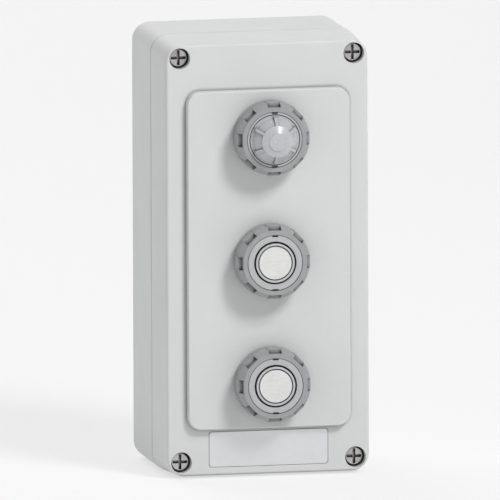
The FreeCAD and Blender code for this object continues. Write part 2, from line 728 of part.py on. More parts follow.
def block_body(z):
    """The outside of a block: a box with a hook at each side for the rail."""
    half_width = BLOCK_WIDTH / 2
    half_length = BLOCK_LENGTH / 2
    body = block((-half_width, half_width), (z - half_length, z + half_length), RAIL_FRONT, LID_BACK)
    return body.fuse([rail_hook(side, z) for side in SIDES])


def terminal_wells(z):
    """The pockets in a block over its two terminal screws, down to the contact strips."""
    return [rod(TERMINAL_WELL_RADIUS, STRIP_FRONT, BLOCK_FRONT, side * TERMINAL_X, z) for side in SIDES]


def strip_slots(z):
    """The slots through the sides of a block that hold its contact strips."""
    half = STRIP_WIDTH / 2 + SLIP
    x_range = (-BLOCK_WIDTH / 2, BLOCK_WIDTH / 2)
    slot = block(x_range, (z - half, z + half), STRIP_BACK - SLIP, STRIP_FRONT + SLIP)
    screw_back = STRIP_FRONT - TERMINAL_SCREW_LENGTH
    screw_radius = TERMINAL_SCREW_RADIUS + THREAD_FIT
    holes = [rod(screw_radius, screw_back, STRIP_FRONT, side * TERMINAL_X, z) for side in SIDES]
    return [slot] + holes


def contact_block(z):
    """The body of a contact block, a tray with a chamber for the moving bridge."""
    half_width = CHAMBER_WIDTH / 2
    half_length = BLOCK_LENGTH / 2 - BLOCK_WALL
    chamber = block((-half_width, half_width), (z - half_length, z + half_length), BLOCK_INSIDE, LID_BACK)
    return block_body(z).cut([chamber] + terminal_wells(z) + strip_slots(z))


def contact_lid(z):
    """The lid of a contact block, with the guide of its plunger."""
    half_width = BLOCK_WIDTH / 2
    half_length = BLOCK_LENGTH / 2
    lid = block((-half_width, half_width), (z - half_length, z + half_length), LID_BACK, BLOCK_FRONT)
    guide = rod(PLUNGER_RADIUS + RUNNING_CLEARANCE, LID_BACK, BLOCK_FRONT, 0, z)
    return lid.cut([guide] + terminal_wells(z))


def contact_plunger(z):
    """The plunger that the stem pushes, with a thin pin through the bridge and its spring."""
    pin_back = BLOCK_INSIDE + TRAVEL + CONTACT_GAP
    return rod(PLUNGER_RADIUS, BRIDGE_FRONT, PLUNGER_TOP, 0, z).fuse(
        rod(PIN_RADIUS, pin_back, BRIDGE_FRONT, 0, z)
    )


def contact_bridge(z):
    """The moving bridge that joins the two contact strips when the button is pressed."""
    half_length = BRIDGE_LENGTH / 2
    half_width = BRIDGE_WIDTH / 2
    bridge = block((-half_length, half_length), (z - half_width, z + half_width), BRIDGE_BACK, BRIDGE_FRONT)
    return bridge.cut(rod(PIN_RADIUS + THREAD_FIT, BRIDGE_BACK, BRIDGE_FRONT, 0, z))


def contact_spring(z):
    """The spring that lifts a contact bridge."""
    return coil_spring(
        CONTACT_SPRING_RADIUS, CONTACT_SPRING_WIRE, CONTACT_SPRING_TURNS, BLOCK_INSIDE, BRIDGE_BACK, z
    )


def contact_strips(z):
    """The two fixed strips of a block, each with the hole of its terminal screw."""
    strips = []
    half = STRIP_WIDTH / 2
    for side in SIDES:
        x_range = sorted((side * STRIP_INNER_X, side * BLOCK_WIDTH / 2))
        strip = block(x_range, (z - half, z + half), STRIP_BACK, STRIP_FRONT)
        hole = rod(TERMINAL_SCREW_RADIUS + THREAD_FIT, STRIP_BACK, STRIP_FRONT, side * TERMINAL_X, z)
        strips.append(strip.cut(hole))
    return strips


def terminal_screws():
    """The terminal screws of the three blocks."""
    screws = []
    for z in STATIONS.values():
        for side in SIDES:
            screws.append(
                slotted_screw(
                    TERMINAL_HEAD_RADIUS,
                    TERMINAL_HEAD_HEIGHT,
                    TERMINAL_SCREW_RADIUS,
                    TERMINAL_SCREW_LENGTH,
                    STRIP_FRONT,
                    side * TERMINAL_X,
                    z,
                )
            )
    return screws


def lamp_block(z):
    """The block under the lamp, which holds its socket and terminals."""
    half_width = BLOCK_WIDTH / 2
    half_length = BLOCK_LENGTH / 2
    top = block((-half_width, half_width), (z - half_length, z + half_length), LID_BACK, BLOCK_FRONT)
    bore = rod(SOCKET_RADIUS + THREAD_FIT, STRIP_FRONT, BLOCK_FRONT, 0, z)
    return block_body(z).fuse(top).cut([bore] + terminal_wells(z) + strip_slots(z))


def lamp_socket(z):
    """The metal sleeve that holds the lamp."""
    return tube(SOCKET_RADIUS, SOCKET_RADIUS - SOCKET_WALL, STRIP_FRONT, STRIP_FRONT + SOCKET_LENGTH, 0, z)


def lamp_base(z):
    """The metal base of the lamp in its socket."""
    radius = SOCKET_RADIUS - SOCKET_WALL - THREAD_FIT
    return rod(radius, STRIP_FRONT, STRIP_FRONT + LAMP_BASE_LENGTH, 0, z)


def lamp_dome(z):
    """The clear dome of the lamp."""
    back = STRIP_FRONT + LAMP_BASE_LENGTH
    shoulder = back + LAMP_DOME_LENGTH - LAMP_DOME_RADIUS
    dome = rod(LAMP_DOME_RADIUS, back, shoulder, 0, z)
    ball = Part.makeSphere(LAMP_DOME_RADIUS, at(0, shoulder, z))
    return dome.fuse(ball).removeSplitter()


def mounting_rail():
    """The top-hat rail that carries the three blocks."""
    half_web = RAIL_WEB / 2
    half_width = RAIL_WIDTH / 2
    half_length = RAIL_LENGTH / 2
    z_range = (-half_length, half_length)
    web = block((-half_web, half_web), z_range, RAIL_BACK, RAIL_BACK + RAIL_SHEET)
    parts = []
    for side in SIDES:
        wall_x = sorted((side * (half_web - RAIL_SHEET), side * half_web))
        parts.append(block(wall_x, z_range, RAIL_BACK, RAIL_FRONT))
        flange_x = sorted((side * (half_web - RAIL_SHEET), side * half_width))
        parts.append(block(flange_x, z_range, RAIL_FRONT - RAIL_SHEET, RAIL_FRONT))
    rail = web.fuse(parts).removeSplitter()
    holes = []
    for side in SIDES:
        hole_radius = RAIL_SCREW_RADIUS + SCREW_HOLE_CLEARANCE
        holes.append(rod(hole_radius, RAIL_BACK, RAIL_BACK + RAIL_SHEET, 0, side * RAIL_SCREW_Z))
    return rail.cut(holes)


def rail_screws():
    """The two screws that hold the rail on its bosses."""
    screws = []
    for side in SIDES:
        screws.append(
            slotted_screw(
                RAIL_SCREW_HEAD_RADIUS,
                RAIL_SCREW_HEAD_HEIGHT,
                RAIL_SCREW_RADIUS,
                RAIL_SCREW_LENGTH,
                RAIL_BACK + RAIL_SHEET,
                0,
                side * RAIL_SCREW_Z,
            )
        )
    return screws


def earth_terminal():
    """The plate of the earth terminal on its boss."""
    half = EARTH_PLATE / 2
    back = FLOOR + EARTH_BOSS_HEIGHT
    x_range = (EARTH_X - half, EARTH_X + half)
    z_range = (EARTH_Z - half, EARTH_Z + half)
    plate = block(x_range, z_range, back, back + EARTH_SHEET)
    lug_x = (EARTH_X + half - EARTH_SHEET, EARTH_X + half)
    plate = plate.fuse(block(lug_x, z_range, back, back + EARTH_PLATE / 2)).removeSplitter()
    return plate.cut(rod(RAIL_SCREW_RADIUS + THREAD_FIT, back, back + EARTH_SHEET, EARTH_X, EARTH_Z))


def earth_screw():
    """The screw of the earth terminal."""
    seat = FLOOR + EARTH_BOSS_HEIGHT + EARTH_SHEET
    return slotted_screw(
        TERMINAL_HEAD_RADIUS,
        TERMINAL_HEAD_HEIGHT,
        RAIL_SCREW_RADIUS,
        EARTH_SCREW_LENGTH,
        seat,
        EARTH_X,
        EARTH_Z,
    )


def enclosure_parts():
    """The box, its fasteners and what is fixed inside it."""
    return {
        "base_housing": base_housing(),
        "front_cover": front_cover(),
        "cover_gasket": cover_gasket(),
        "cover_screws": cover_screws(),
        "screw_washers": screw_washers(),
        "threaded_inserts": threaded_inserts(),
        "label_plate": label_plate(),
        "mounting_rail": mounting_rail(),
        "rail_screws": rail_screws(),
        "earth_terminal": earth_terminal(),
        "earth_screw": earth_screw(),
        "terminal_screws": terminal_screws(),
    }


def lamp_parts():
    """The pieces of the indicator lamp at the top."""
    z = STATIONS["top"]
    return {
        "collar_top": lamp_collar(z),
        "lamp_lens": lamp_lens(z),
        "lens_seal": lens_seal(z),
        "lamp_block": lamp_block(z),
        "lamp_strips": contact_strips(z),
        "lamp_socket": lamp_socket(z),
        "lamp_base": lamp_base(z),
        "lamp_dome": lamp_dome(z),
    }


def button_parts(name):
    """The pieces of one push-button and of the contact block behind it."""
    z = STATIONS[name]
    makers = {
        "collar": button_collar,
        "button_head": button_head,
        "button_disc": button_disc,
        "button_stem": button_stem,
        "stem_seal": stem_seal,
        "return_spring": return_spring,
        "contact_block": contact_block,
        "contact_lid": contact_lid,
        "contact_strips": contact_strips,
        "contact_plunger": contact_plunger,
        "contact_bridge": contact_bridge,
        "contact_spring": contact_spring,
    }
    return {f"{piece}_{name}": maker(z) for piece, maker in makers.items()}


def all_parts():
    """Every piece of the control station under its node name."""
    parts = enclosure_parts()
    for name, z in STATIONS.items():
        parts[f"clamp_ring_{name}"] = clamp_ring(z)
        parts[f"panel_seal_{name}"] = panel_seal(z)
    parts.update(lamp_parts())
    for name in BUTTONS:
        parts.update(button_parts(name))
    return parts


def main():
    """Write each piece to its own file."""
    os.makedirs("parts", exist_ok=True)
    for name, shape in all_parts().items():
        if isinstance(shape, list):
            shape = Part.makeCompound(shape)
        shape.exportStep(f"parts/{name}.step")
        print(f"{name}: {len(shape.Solids)} solids, {shape.Volume:.1f} mm3, valid {shape.isValid()}")


main()
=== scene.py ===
"""The looks of a control station: a moulded wall box with a lamp above two push-buttons.

Lengths are in metres, in the frame of the packed part: the wall is the plane Y = 0, the front
faces -Y, X runs to the right and Z up. A depth is a distance in front of the wall.
"""
import json
import logging
import math
from collections.abc import Callable, Iterator, Sequence
from contextlib import contextmanager
from dataclasses import dataclass
from enum import Enum

import bmesh
import bpy
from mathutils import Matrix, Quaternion, Vector


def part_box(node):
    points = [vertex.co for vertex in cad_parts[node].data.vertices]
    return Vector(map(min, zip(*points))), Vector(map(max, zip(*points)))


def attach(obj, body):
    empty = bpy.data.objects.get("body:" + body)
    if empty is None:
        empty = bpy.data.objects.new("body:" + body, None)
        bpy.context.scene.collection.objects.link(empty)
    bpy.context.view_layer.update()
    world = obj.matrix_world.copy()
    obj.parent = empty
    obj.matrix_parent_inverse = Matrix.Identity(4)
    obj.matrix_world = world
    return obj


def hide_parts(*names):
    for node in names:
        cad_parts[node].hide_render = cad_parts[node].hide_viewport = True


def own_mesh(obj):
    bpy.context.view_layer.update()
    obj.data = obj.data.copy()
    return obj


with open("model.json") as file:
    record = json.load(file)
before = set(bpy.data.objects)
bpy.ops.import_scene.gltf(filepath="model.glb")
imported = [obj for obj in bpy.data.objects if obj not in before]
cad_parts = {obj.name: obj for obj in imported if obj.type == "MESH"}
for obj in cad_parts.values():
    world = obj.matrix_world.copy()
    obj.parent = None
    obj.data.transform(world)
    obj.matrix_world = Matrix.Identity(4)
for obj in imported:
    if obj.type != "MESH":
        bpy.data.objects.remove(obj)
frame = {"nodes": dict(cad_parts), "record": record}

MM = 0.001
PAST = 1.0 * MM  # how far a cutter reaches past the surface that it opens
SCREW_PLACE = (34.5 * MM, 79.2 * MM)  # x and z of the cover screw at the upper right
LOG = logging.getLogger("control_station")

Colour = tuple[float, float, float]
Tint = Colour | bpy.types.NodeSocket
Pair = tuple[float, float]
Point = Sequence[float]
Profile = Sequence[Pair]
Piece = bpy.types.Object
EdgeTest = Callable[[bmesh.types.BMEdge], bool]
Settings = dict[str, object]
Inputs = dict[str | int, object]


class Station(Enum):
    """A place on the panel, named as its nodes are."""

    TOP = "top"
    MIDDLE = "middle"
    BOTTOM = "bottom"

    @property
    def height(self) -> float:
        """Height of the station's axis."""
        low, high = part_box(f"clamp_ring_{self.value}")
        return (low.z + high.z) / 2

    @property
    def body(self) -> str:
        """Name of the body that the station's button moves with."""
        return f"{self.value}_button"

    def node(self, piece: str) -> str:
        """Name of one of the station's nodes."""
        return f"{piece}_{self.value}"


class Coil(Enum):
    """A spring of a push-button: its node, the joint that it follows, its wire's radius and its turns."""

    RETURN = ("return_spring", "button_press", 0.4 * MM, 4)
    CONTACT = ("contact_spring", "contact_slide", 0.3 * MM, 5)

    def __init__(self, piece: str, joint: str, wire: float, turns: int) -> None:
        """Name the spring's traits.

        Args:
            piece: Start of its node's name.
            joint: End of the name of the joint that it follows.
            wire: Radius of its wire.
            turns: How many turns it has.
        """
        self.piece = piece
        self.joint = joint
        self.wire = wire
        self.turns = turns


def front_of(node: str) -> float:
    """Depth of the foremost point of a node."""
    return -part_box(node)[0].y


def back_of(node: str) -> float:
    """Depth of the rearmost point of a node."""
    return -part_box(node)[1].y


def corners(place: Pair) -> list[Pair]:
    """The four places that mirror one place left to right and top to bottom."""
    return [(side * place[0], rise * place[1]) for side in (-1, 1) for rise in (-1, 1)]


class Value:
    """A shader socket with arithmetic: an expression on values adds its Math nodes."""

    def __init__(self, shader: "Shader", socket: bpy.types.NodeSocket) -> None:
        """Wrap an output that carries a number."""
        self.shader = shader
        self.socket = socket

    def math(self, operation: str, *others: "Value | float") -> "Value":
        """Join this value with others in one Math node."""
        operands = dict(enumerate((self, *others)))
        return self.shader.value("ShaderNodeMath", {"operation": operation}, operands)

    def __add__(self, other: "Value | float") -> "Value":
        """The sum."""
        return self.math("ADD", other)

    __radd__ = __add__

    def __mul__(self, other: "Value | float") -> "Value":
        """The product."""
        return self.math("MULTIPLY", other)

    __rmul__ = __mul__

    def __sub__(self, other: "Value | float") -> "Value":
        """The difference."""
        return self.math("SUBTRACT", other)

    def __rsub__(self, other: float) -> "Value":
        """The difference from a number."""
        return (self * -1.0) + other

    def between(self, low: float, high: float) -> "Value":
        """Spread the value from the range low to high over 0 to 1, and clamp it."""
        inputs = {"Value": self, "From Min": low, "From Max": high}
        return self.shader.value("ShaderNodeMapRange", {"clamp": True}, inputs)


class Shader:
    """The node tree of one material."""

    def __init__(self, name: str) -> None:
        """Start an empty material.

        Args:
            name: The material's name.
        """
        self.material = bpy.data.materials.new(name)
        self.material.use_nodes = True
        self.tree = self.material.node_tree
        self.tree.nodes.clear()
        self.coordinates = self.node("ShaderNodeTexCoord", {}, {}).outputs["Object"]

    def node(self, kind: str, settings: Settings, inputs: Inputs) -> bpy.types.Node:
        """Add a node.

        Args:
            kind: The node's type.
            settings: Properties that are set first.
            inputs: Values or links of its sockets.

        Returns:
            The node.
        """
        made = self.tree.nodes.new(kind)
        for key, setting in settings.items():
            setattr(made, key, setting)
        for key, given in inputs.items():
            given = given.socket if isinstance(given, Value) else given
            if isinstance(given, bpy.types.NodeSocket):
                self.tree.links.new(given, made.inputs[key])
            else:
                made.inputs[key].default_value = given
        return made

    def value(self, kind: str, settings: Settings, inputs: Inputs, output: int | str = 0) -> Value:
        """Add a node with its settings and inputs, and take one of its outputs as a value."""
        return Value(self, self.node(kind, settings, inputs).outputs[output])

    def noise(self, size: float, detail: float = 3.0, stretch: Point = (1.0, 1.0, 1.0)) -> Value:
        """Soft noise in space.

        Args:
            size: Rough size of its patches.
            detail: How many finer layers it has.
            stretch: Factors that squeeze it along X, Y and Z.

        Returns:
            A value from 0 to 1, mostly near 0.5.
        """
        mapping = self.node("ShaderNodeMapping", {}, {"Vector": self.coordinates, "Scale": stretch})
        inputs = {"Vector": mapping.outputs["Vector"], "Scale": 1.0 / size, "Detail": detail}
        return self.value("ShaderNodeTexNoise", {}, inputs)

    def cells(self, size: float, output: str = "Distance") -> Value:
        """Cells in space: the distance to a cell's centre, or the cell's own shade."""
        inputs = {"Vector": self.coordinates, "Scale": 1.0 / size}
        return self.value("ShaderNodeTexVoronoi", {}, inputs, output)

    def crevices(self, reach: float) -> Value:
        """How open the surface lies, from 0 deep in a gap to 1 with nothing within reach: the mask by which
        the finishes paint shade into their colours.
        """
        return self.value("ShaderNodeAmbientOcclusion", {"samples": 12}, {"Distance": reach}, "AO")

    def mix(self, factor: Value, first: Tint, second: Tint) -> bpy.types.NodeSocket:
        """Mix two colours.

        Args:
            factor: 0 for the first and 1 for the second.
            first: A colour or a socket that carries one.
            second: A colour or a socket that carries one.

        Returns:
            The mixed colour.
        """
        inputs = {0: factor, 6: first, 7: second}
        for index, given in inputs.items():
            if isinstance(given, tuple):
                inputs[index] = (*given, 1.0)
        return self.node("ShaderNodeMix", {"data_type": "RGBA"}, inputs).outputs[2]

    def bump(self, height: Value, distance: float) -> bpy.types.NodeSocket:
        """The surface normal of a height from 0 to 1, where 1 stands for the distance."""
        inputs = {"Height": height, "Distance": distance}
        return self.node("ShaderNodeBump", {}, inputs).outputs["Normal"]

    def surface(self, inputs: Inputs) -> bpy.types.Material:
        """Finish the material with one principled surface.

        Args:
            inputs: Values or links of its sockets.

        Returns:
            The material.
        """
        principled = self.node("ShaderNodeBsdfPrincipled", {}, inputs)
        self.node("ShaderNodeOutputMaterial", {}, {"Surface": principled.outputs["BSDF"]})
        return self.material


def shade(colour: Colour, factor: float) -> Colour:
    """The colour made darker or lighter by a factor."""
    return tuple(min(1.0, part * factor) for part in colour)


@dataclass(frozen=True)
class Moulded:
    """A moulded plastic with a fine grain, faint flow marks, a little rubbed shine and painted shade in its
    corners and gaps.
    """

    name: str
    colour: Colour
    roughness: float = 0.42
    grain: float = 0.45 * MM
    grain_height: float = 0.010 * MM
    mottle: float = 0.025
    flow_size: float = 22.0 * MM
    corner_reach: float = 1.8 * MM
    corner_shade: float = 0.25

    def build(self) -> bpy.types.Material:
        """Build the finish.

        Returns:
            The material.
        """
        shader = Shader(self.name)
        flow = shader.noise(self.flow_size, 4.0, (1.0, 1.0, 0.45)).between(0.35, 0.65)
        speck = shader.noise(self.grain * 1.7, 2.0).between(0.3, 0.7)
        tone = flow * 0.6 + speck * 0.4
        dark, pale = shade(self.colour, 1.0 - self.mottle), shade(self.colour, 1.0 + self.mottle)
        plain = shader.mix(tone, dark, pale)
        # painted shade: ambient occlusion darkens the colour in corners and gaps
        painted_shade_mask = shader.crevices(self.corner_reach).between(0.3, 0.9)
        colour = shader.mix(painted_shade_mask, shade(self.colour, self.corner_shade), plain)
        rubbed = shader.noise(self.flow_size * 0.5, 5.0).between(0.4, 0.7)
        grain = shader.noise(self.grain, 1.0) * 0.7 + shader.cells(self.grain * 1.3) * 0.5
        return shader.surface({
            "Base Color": colour,
            "Roughness": self.roughness + rubbed * 0.08 - speck * 0.05,
            "Normal": shader.bump(grain, self.grain_height),
            "Specular IOR Level": 0.45,
        })


@dataclass(frozen=True)
class Gloss:
    """A smooth glossy plastic with a faint orange peel."""

    name: str
    colour: Colour
    roughness: float = 0.2
    coat: float = 0.25

    def build(self) -> bpy.types.Material:
        """Build the finish.

        Returns:
            The material.
        """
        shader = Shader(self.name)
        cloud = shader.noise(5.0 * MM, 3.0).between(0.35, 0.65)
        smear = shader.noise(3.0 * MM, 5.0, (1.0, 1.0, 2.5)).between(0.45, 0.7)
        peel = shader.noise(0.9 * MM, 1.0)
        return shader.surface({
            "Base Color": shader.mix(cloud, shade(self.colour, 0.97), shade(self.colour, 1.02)),
            "Roughness": self.roughness + smear * 0.1,
            "Normal": shader.bump(peel, 0.004 * MM),
            "Coat Weight": self.coat,
            "Coat Roughness": 0.1,
        })


@dataclass(frozen=True)
class Rubber:
    """A dull seal with a dusty bloom."""

    name: str
    colour: Colour

    def build(self) -> bpy.types.Material:
        """Build the finish.

        Returns:
            The material.
        """
        shader = Shader(self.name)
        bloom = shader.noise(2.5 * MM, 4.0).between(0.45, 0.75)
        skin = shader.noise(0.25 * MM, 2.0)
        return shader.surface({
            "Base Color": shader.mix(bloom, self.colour, shade(self.colour, 1.9)),
            "Roughness": 0.72 + bloom * 0.15,
            "Normal": shader.bump(skin, 0.01 * MM),
            "Specular IOR Level": 0.3,
        })


@dataclass(frozen=True)
class Metal:
    """A bare metal with tool marks along one direction, small stains and painted shade in its recesses."""

    name: str
    colour: Colour
    roughness: float = 0.28
    marks: tuple[float, float, float] = (1.0, 1.0, 14.0)
    mark_size: float = 1.6 * MM
    mark_height: float = 0.006 * MM
    stain_shade: float = 0.8
    corner_reach: float = 1.4 * MM
    corner_shade: float = 0.08

    def build(self) -> bpy.types.Material:
        """Build the finish.

        Returns:
            The material.
        """
        shader = Shader(self.name)
        marks = shader.noise(self.mark_size, 4.0, self.marks)
        stain = shader.noise(4.0 * MM, 5.0).between(0.5, 0.75)
        # painted shade: ambient occlusion darkens the colour in recesses and corners
        painted_shade_mask = shader.crevices(self.corner_reach).between(0.3, 0.9)
        plain = shader.mix(stain, self.colour, shade(self.colour, self.stain_shade))
        dulling = 0.6 * (1.0 - self.stain_shade)
        return shader.surface({
            "Base Color": shader.mix(painted_shade_mask, shade(self.colour, self.corner_shade), plain),
            "Metallic": 1.0,
            "Roughness": self.roughness + marks.between(0.3, 0.7) * dulling + stain * dulling,
            "Normal": shader.bump(marks, self.mark_height),
        })


@dataclass(frozen=True)
class Plated:
    """Zinc-plated sheet with a faint spangle."""

    name: str
    colour: Colour

    def build(self) -> bpy.types.Material:
        """Build the finish.

        Returns:
            The material.
        """
        shader = Shader(self.name)
        spangle = shader.cells(2.2 * MM, "Color")
        scratch = shader.noise(1.2 * MM, 4.0, (12.0, 1.0, 1.0))
        return shader.surface({
            "Base Color": shader.mix(spangle, shade(self.colour, 0.88), shade(self.colour, 1.06)),
            "Metallic": 1.0,
            "Roughness": 0.3 + spangle * 0.14,
            "Normal": shader.bump(scratch, 0.004 * MM),
        })


@dataclass(frozen=True)
class Clear:
    """A clear or milky plastic or glass with a soft haze and painted shade in its corners."""

    name: str
    colour: Colour
    roughness: float = 0.08
    transmission: float = 0.9
    ior: float = 1.49
    corner_reach: float = 1.3 * MM
    corner_shade: float = 0.9

    def build(self) -> bpy.types.Material:
        """Build the finish.

        Returns:
            The material.
        """
        shader = Shader(self.name)
        haze = shader.noise(2.0 * MM, 4.0).between(0.35, 0.7)
        ripple = shader.noise(1.4 * MM, 1.0)
        # painted shade: ambient occlusion darkens the colour in corners
        painted_shade_mask = shader.crevices(self.corner_reach).between(0.25, 0.85)
        tint = shader.mix(haze, self.colour, shade(self.colour, 0.98))
        return shader.surface({
            "Base Color": shader.mix(painted_shade_mask, shade(self.colour, self.corner_shade), tint),
            "Roughness": self.roughness + haze * 0.08,
            "Normal": shader.bump(ripple, 0.0008 * MM),
            "Transmission Weight": self.transmission,
            "IOR": self.ior,
        })


class Palette:
    """The finishes of the control station, each named as its material slot and built once."""

    housing = Moulded("housing_plastic", (0.70, 0.71, 0.71))
    ring = Moulded("ring_plastic", (0.36, 0.37, 0.38), roughness=0.36, grain=0.3 * MM)
    collar = Moulded("collar_plastic", (0.50, 0.51, 0.52), roughness=0.33, grain=0.25 * MM)
    head = Moulded("button_head_plastic", (0.55, 0.56, 0.57), roughness=0.3, grain=0.25 * MM)
    disc = Gloss("button_disc_plastic", (0.76, 0.76, 0.75), roughness=0.26)
    stem = Moulded("stem_plastic", (0.78, 0.77, 0.74), roughness=0.3)
    block = Moulded("block_plastic", (0.22, 0.225, 0.23), roughness=0.45, grain=0.35 * MM)
    panel_seal = Rubber("seal_rubber", (0.025, 0.025, 0.028))
    screw_steel = Metal("screw_steel", (0.62, 0.61, 0.60))
    brass = Metal("brass_parts", (0.74, 0.55, 0.27), roughness=0.25)
    copper = Metal("contact_copper", (0.83, 0.52, 0.36), marks=(10.0, 1.0, 1.0))
    spring_steel = Metal("spring_wire", (0.50, 0.50, 0.51), mark_size=0.5 * MM)
    label = Metal(
        "label_aluminium",
        (0.86, 0.87, 0.88),
        roughness=0.5,
        marks=(0.15, 1.0, 9.0),
        mark_height=0.0012 * MM,
        stain_shade=0.97,
    )
    rail_steel = Plated("rail_zinc", (0.68, 0.70, 0.72))
    lens = Clear(
        "lens_plastic",
        (0.68, 0.70, 0.72),
        roughness=0.2,
        transmission=0.25,
        corner_reach=1.4 * MM,
        corner_shade=0.04,
    )
    lamp_glass = Clear("lamp_glass", (0.98, 0.98, 0.97), roughness=0.03, ior=1.5)

    def __init__(self) -> None:
        """Build every finish."""
        self.materials: dict[str, bpy.types.Material] = {}
        for slot, finish in vars(Palette).items():
            if hasattr(finish, "build"):
                self.materials[slot] = finish.build()

    def dress(self, piece: Piece, slot: str) -> None:
        """Give a piece the finish of one slot all over."""
        piece.data.materials.clear()
        piece.data.materials.append(self.materials[slot])


class Bench:
    """Modelling by hand: primitives, work in edit mode and applied modifiers."""

    ROUND_STEPS = 96
    CORNER_STEPS = 12
    MERGE = 1e-6  # points closer than this are one
    FACING = 0.9  # least part of a face's normal along Y for an end
    FLAT_DEGREES = 0.5  # faces that meet flatter than this are joined

    @staticmethod
    def pick(piece: Piece) -> None:
        """Select one piece and nothing else.

        Args:
            piece: The piece.
        """
        bpy.ops.object.select_all(action="DESELECT")
        piece.select_set(True)
        bpy.context.view_layer.objects.active = piece

    @classmethod
    @contextmanager
    def editing(
        cls, piece: Piece, mode: str = "FACE", start: str = "DESELECT"
    ) -> Iterator[bmesh.types.BMesh]:
        """Work on a piece in edit mode.

        Args:
            piece: The piece to edit.
            mode: What is selected: VERT, EDGE or FACE.
            start: SELECT to begin with everything selected, DESELECT with nothing.

        Yields:
            The mesh in edit mode.
        """
        cls.pick(piece)
        bpy.ops.object.mode_set(mode="EDIT")
        bpy.ops.mesh.select_mode(type=mode)
        bpy.ops.mesh.select_all(action=start)
        yield bmesh.from_edit_mesh(piece.data)
        bpy.ops.object.mode_set(mode="OBJECT")

    @staticmethod
    def name(piece: Piece, name: str) -> Piece:
        """Name a piece and its mesh.

        Args:
            piece: The piece.
            name: Its name.

        Returns:
            The piece.
        """
        piece.name = name
        piece.data.name = name
        return piece

    @classmethod
    def settle(cls, piece: Piece) -> None:
        """Move a piece's place into its mesh."""
        cls.pick(piece)
        bpy.ops.object.transform_apply(location=True, rotation=True, scale=True)

    @classmethod
    def box(cls, name: str, low: Point, high: Point) -> Piece:
        """A box between two corners.

        Args:
            name: The piece's name.
            low: Its lowest x, y and z.
            high: Its highest x, y and z.

        Returns:
            The piece.
        """
        centre = [(a + b) / 2 for a, b in zip(low, high)]
        size = [b - a for a, b in zip(low, high)]
        bpy.ops.object.select_all(action="DESELECT")
        bpy.ops.mesh.primitive_cube_add(size=1.0, location=centre, scale=size)
        piece = cls.name(bpy.context.active_object, name)
        cls.settle(piece)
        return piece

    @classmethod
    def cylinder(cls, name: str, radius: float, back: float, front: float, place: Pair) -> Piece:
        """A round bar that points at the front.

        Args:
            name: The piece's name.
            radius: Its radius.
            back: Depth of its rear end.
            front: Depth of its front end.
            place: Its x and z.

        Returns:
            The piece.
        """
        bpy.ops.object.select_all(action="DESELECT")
        bpy.ops.mesh.primitive_cylinder_add(
            vertices=cls.ROUND_STEPS,
            radius=radius,
            depth=front - back,
            location=(place[0], -(front + back) / 2, place[1]),
            rotation=(math.pi / 2, 0.0, 0.0),
        )
        piece = cls.name(bpy.context.active_object, name)
        cls.settle(piece)
        return piece

    @classmethod
    def bevel(cls, piece: Piece, chosen: EdgeTest, width: float, segments: int) -> None:
        """Round the chosen edges of a piece.

        Args:
            piece: The piece.
            chosen: Says whether an edge is rounded.
            width: The rounding's radius.
            segments: How many faces it has.
        """
        with cls.editing(piece, "EDGE") as mesh:
            for edge in mesh.edges:
                edge.select_set(chosen(edge))
            bmesh.update_edit_mesh(piece.data)
            bpy.ops.mesh.bevel(
                offset=width, offset_type="OFFSET", segments=segments, affect="EDGES", clamp_overlap=True
            )

    @classmethod
    def shift(cls, piece: Piece, offset: Point) -> None:
        """Move a piece's mesh."""
        with cls.editing(piece, start="SELECT"):
            bpy.ops.transform.translate(value=offset)

    @classmethod
    def turn(cls, piece: Piece, angle: float, axis: str, height: float = 0.0) -> None:
        """Turn a piece's mesh about an axis through a point above the origin."""
        with cls.editing(piece, start="SELECT"):
            bpy.ops.transform.rotate(value=angle, orient_axis=axis, center_override=(0.0, 0.0, height))

    @classmethod
    def narrow(cls, piece: Piece, side: int, width: float, height: float) -> None:
        """Scale the end of a piece that looks at the front or the wall.

        Args:
            piece: The piece.
            side: -1 for the front end, 1 for the end at the wall.
            width: Factor along X.
            height: Factor along Z.
        """
        with cls.editing(piece) as mesh:
            for face in mesh.faces:
                face.select_set(side * face.normal.y > cls.FACING)
            bmesh.update_edit_mesh(piece.data)
            bpy.ops.transform.resize(value=(width, 1.0, height))

    @classmethod
    def rounded_box(
        cls, name: str, low: Point, high: Point, corner: float, draft: float = 0.0, side: int = -1
    ) -> Piece:
        """A box with rounded corners, seen from the front, of which one end may be drawn in.

        Args:
            name: The piece's name.
            low: Its lowest x, y and z.
            high: Its highest x, y and z.
            corner: Radius of the four corners.
            draft: How far each side of the end is drawn in.
            side: -1 to draw in the front end, 1 for the end at the wall.

        Returns:
            The piece.
        """
        piece = cls.box(name, low, high)
        cls.bevel(piece, runs_deep, corner, cls.CORNER_STEPS)
        if draft:
            width, height = (1.0 - 2.0 * draft / (high[axis] - low[axis]) for axis in (0, 2))
            cls.narrow(piece, side, width, height)
        return piece

    @classmethod
    def lathe(cls, name: str, profile: Profile, height: float, steps: int = ROUND_STEPS) -> Piece:
        """Turn a closed outline about a station's axis.

        Args:
            name: The piece's name.
            profile: The outline's (radius, depth) corners.
            height: Height of the axis.
            steps: How many faces go round.

        Returns:
            The piece.
        """
        bpy.ops.object.select_all(action="DESELECT")
        bpy.ops.mesh.primitive_plane_add(size=MM)
        piece = cls.name(bpy.context.active_object, name)
        points = [Vector((radius, -depth, height)) for radius, depth in profile]
        with cls.editing(piece, "VERT", "SELECT"):
            bpy.ops.mesh.merge(type="CENTER")
            bpy.ops.transform.translate(value=points[0])
            for start, end in zip(points, points[1:] + points[:1]):
                bpy.ops.mesh.extrude_region_move(TRANSFORM_OT_translate={"value": end - start})
            bpy.ops.mesh.select_all(action="SELECT")
            bpy.ops.mesh.spin(steps=steps, angle=math.tau, center=(0.0, 0.0, height), axis=(0.0, 1.0, 0.0))
            bpy.ops.mesh.select_all(action="SELECT")
            bpy.ops.mesh.remove_doubles(threshold=cls.MERGE)
            bpy.ops.mesh.normals_make_consistent(inside=False)
            bpy.ops.mesh.delete_loose()
        return piece

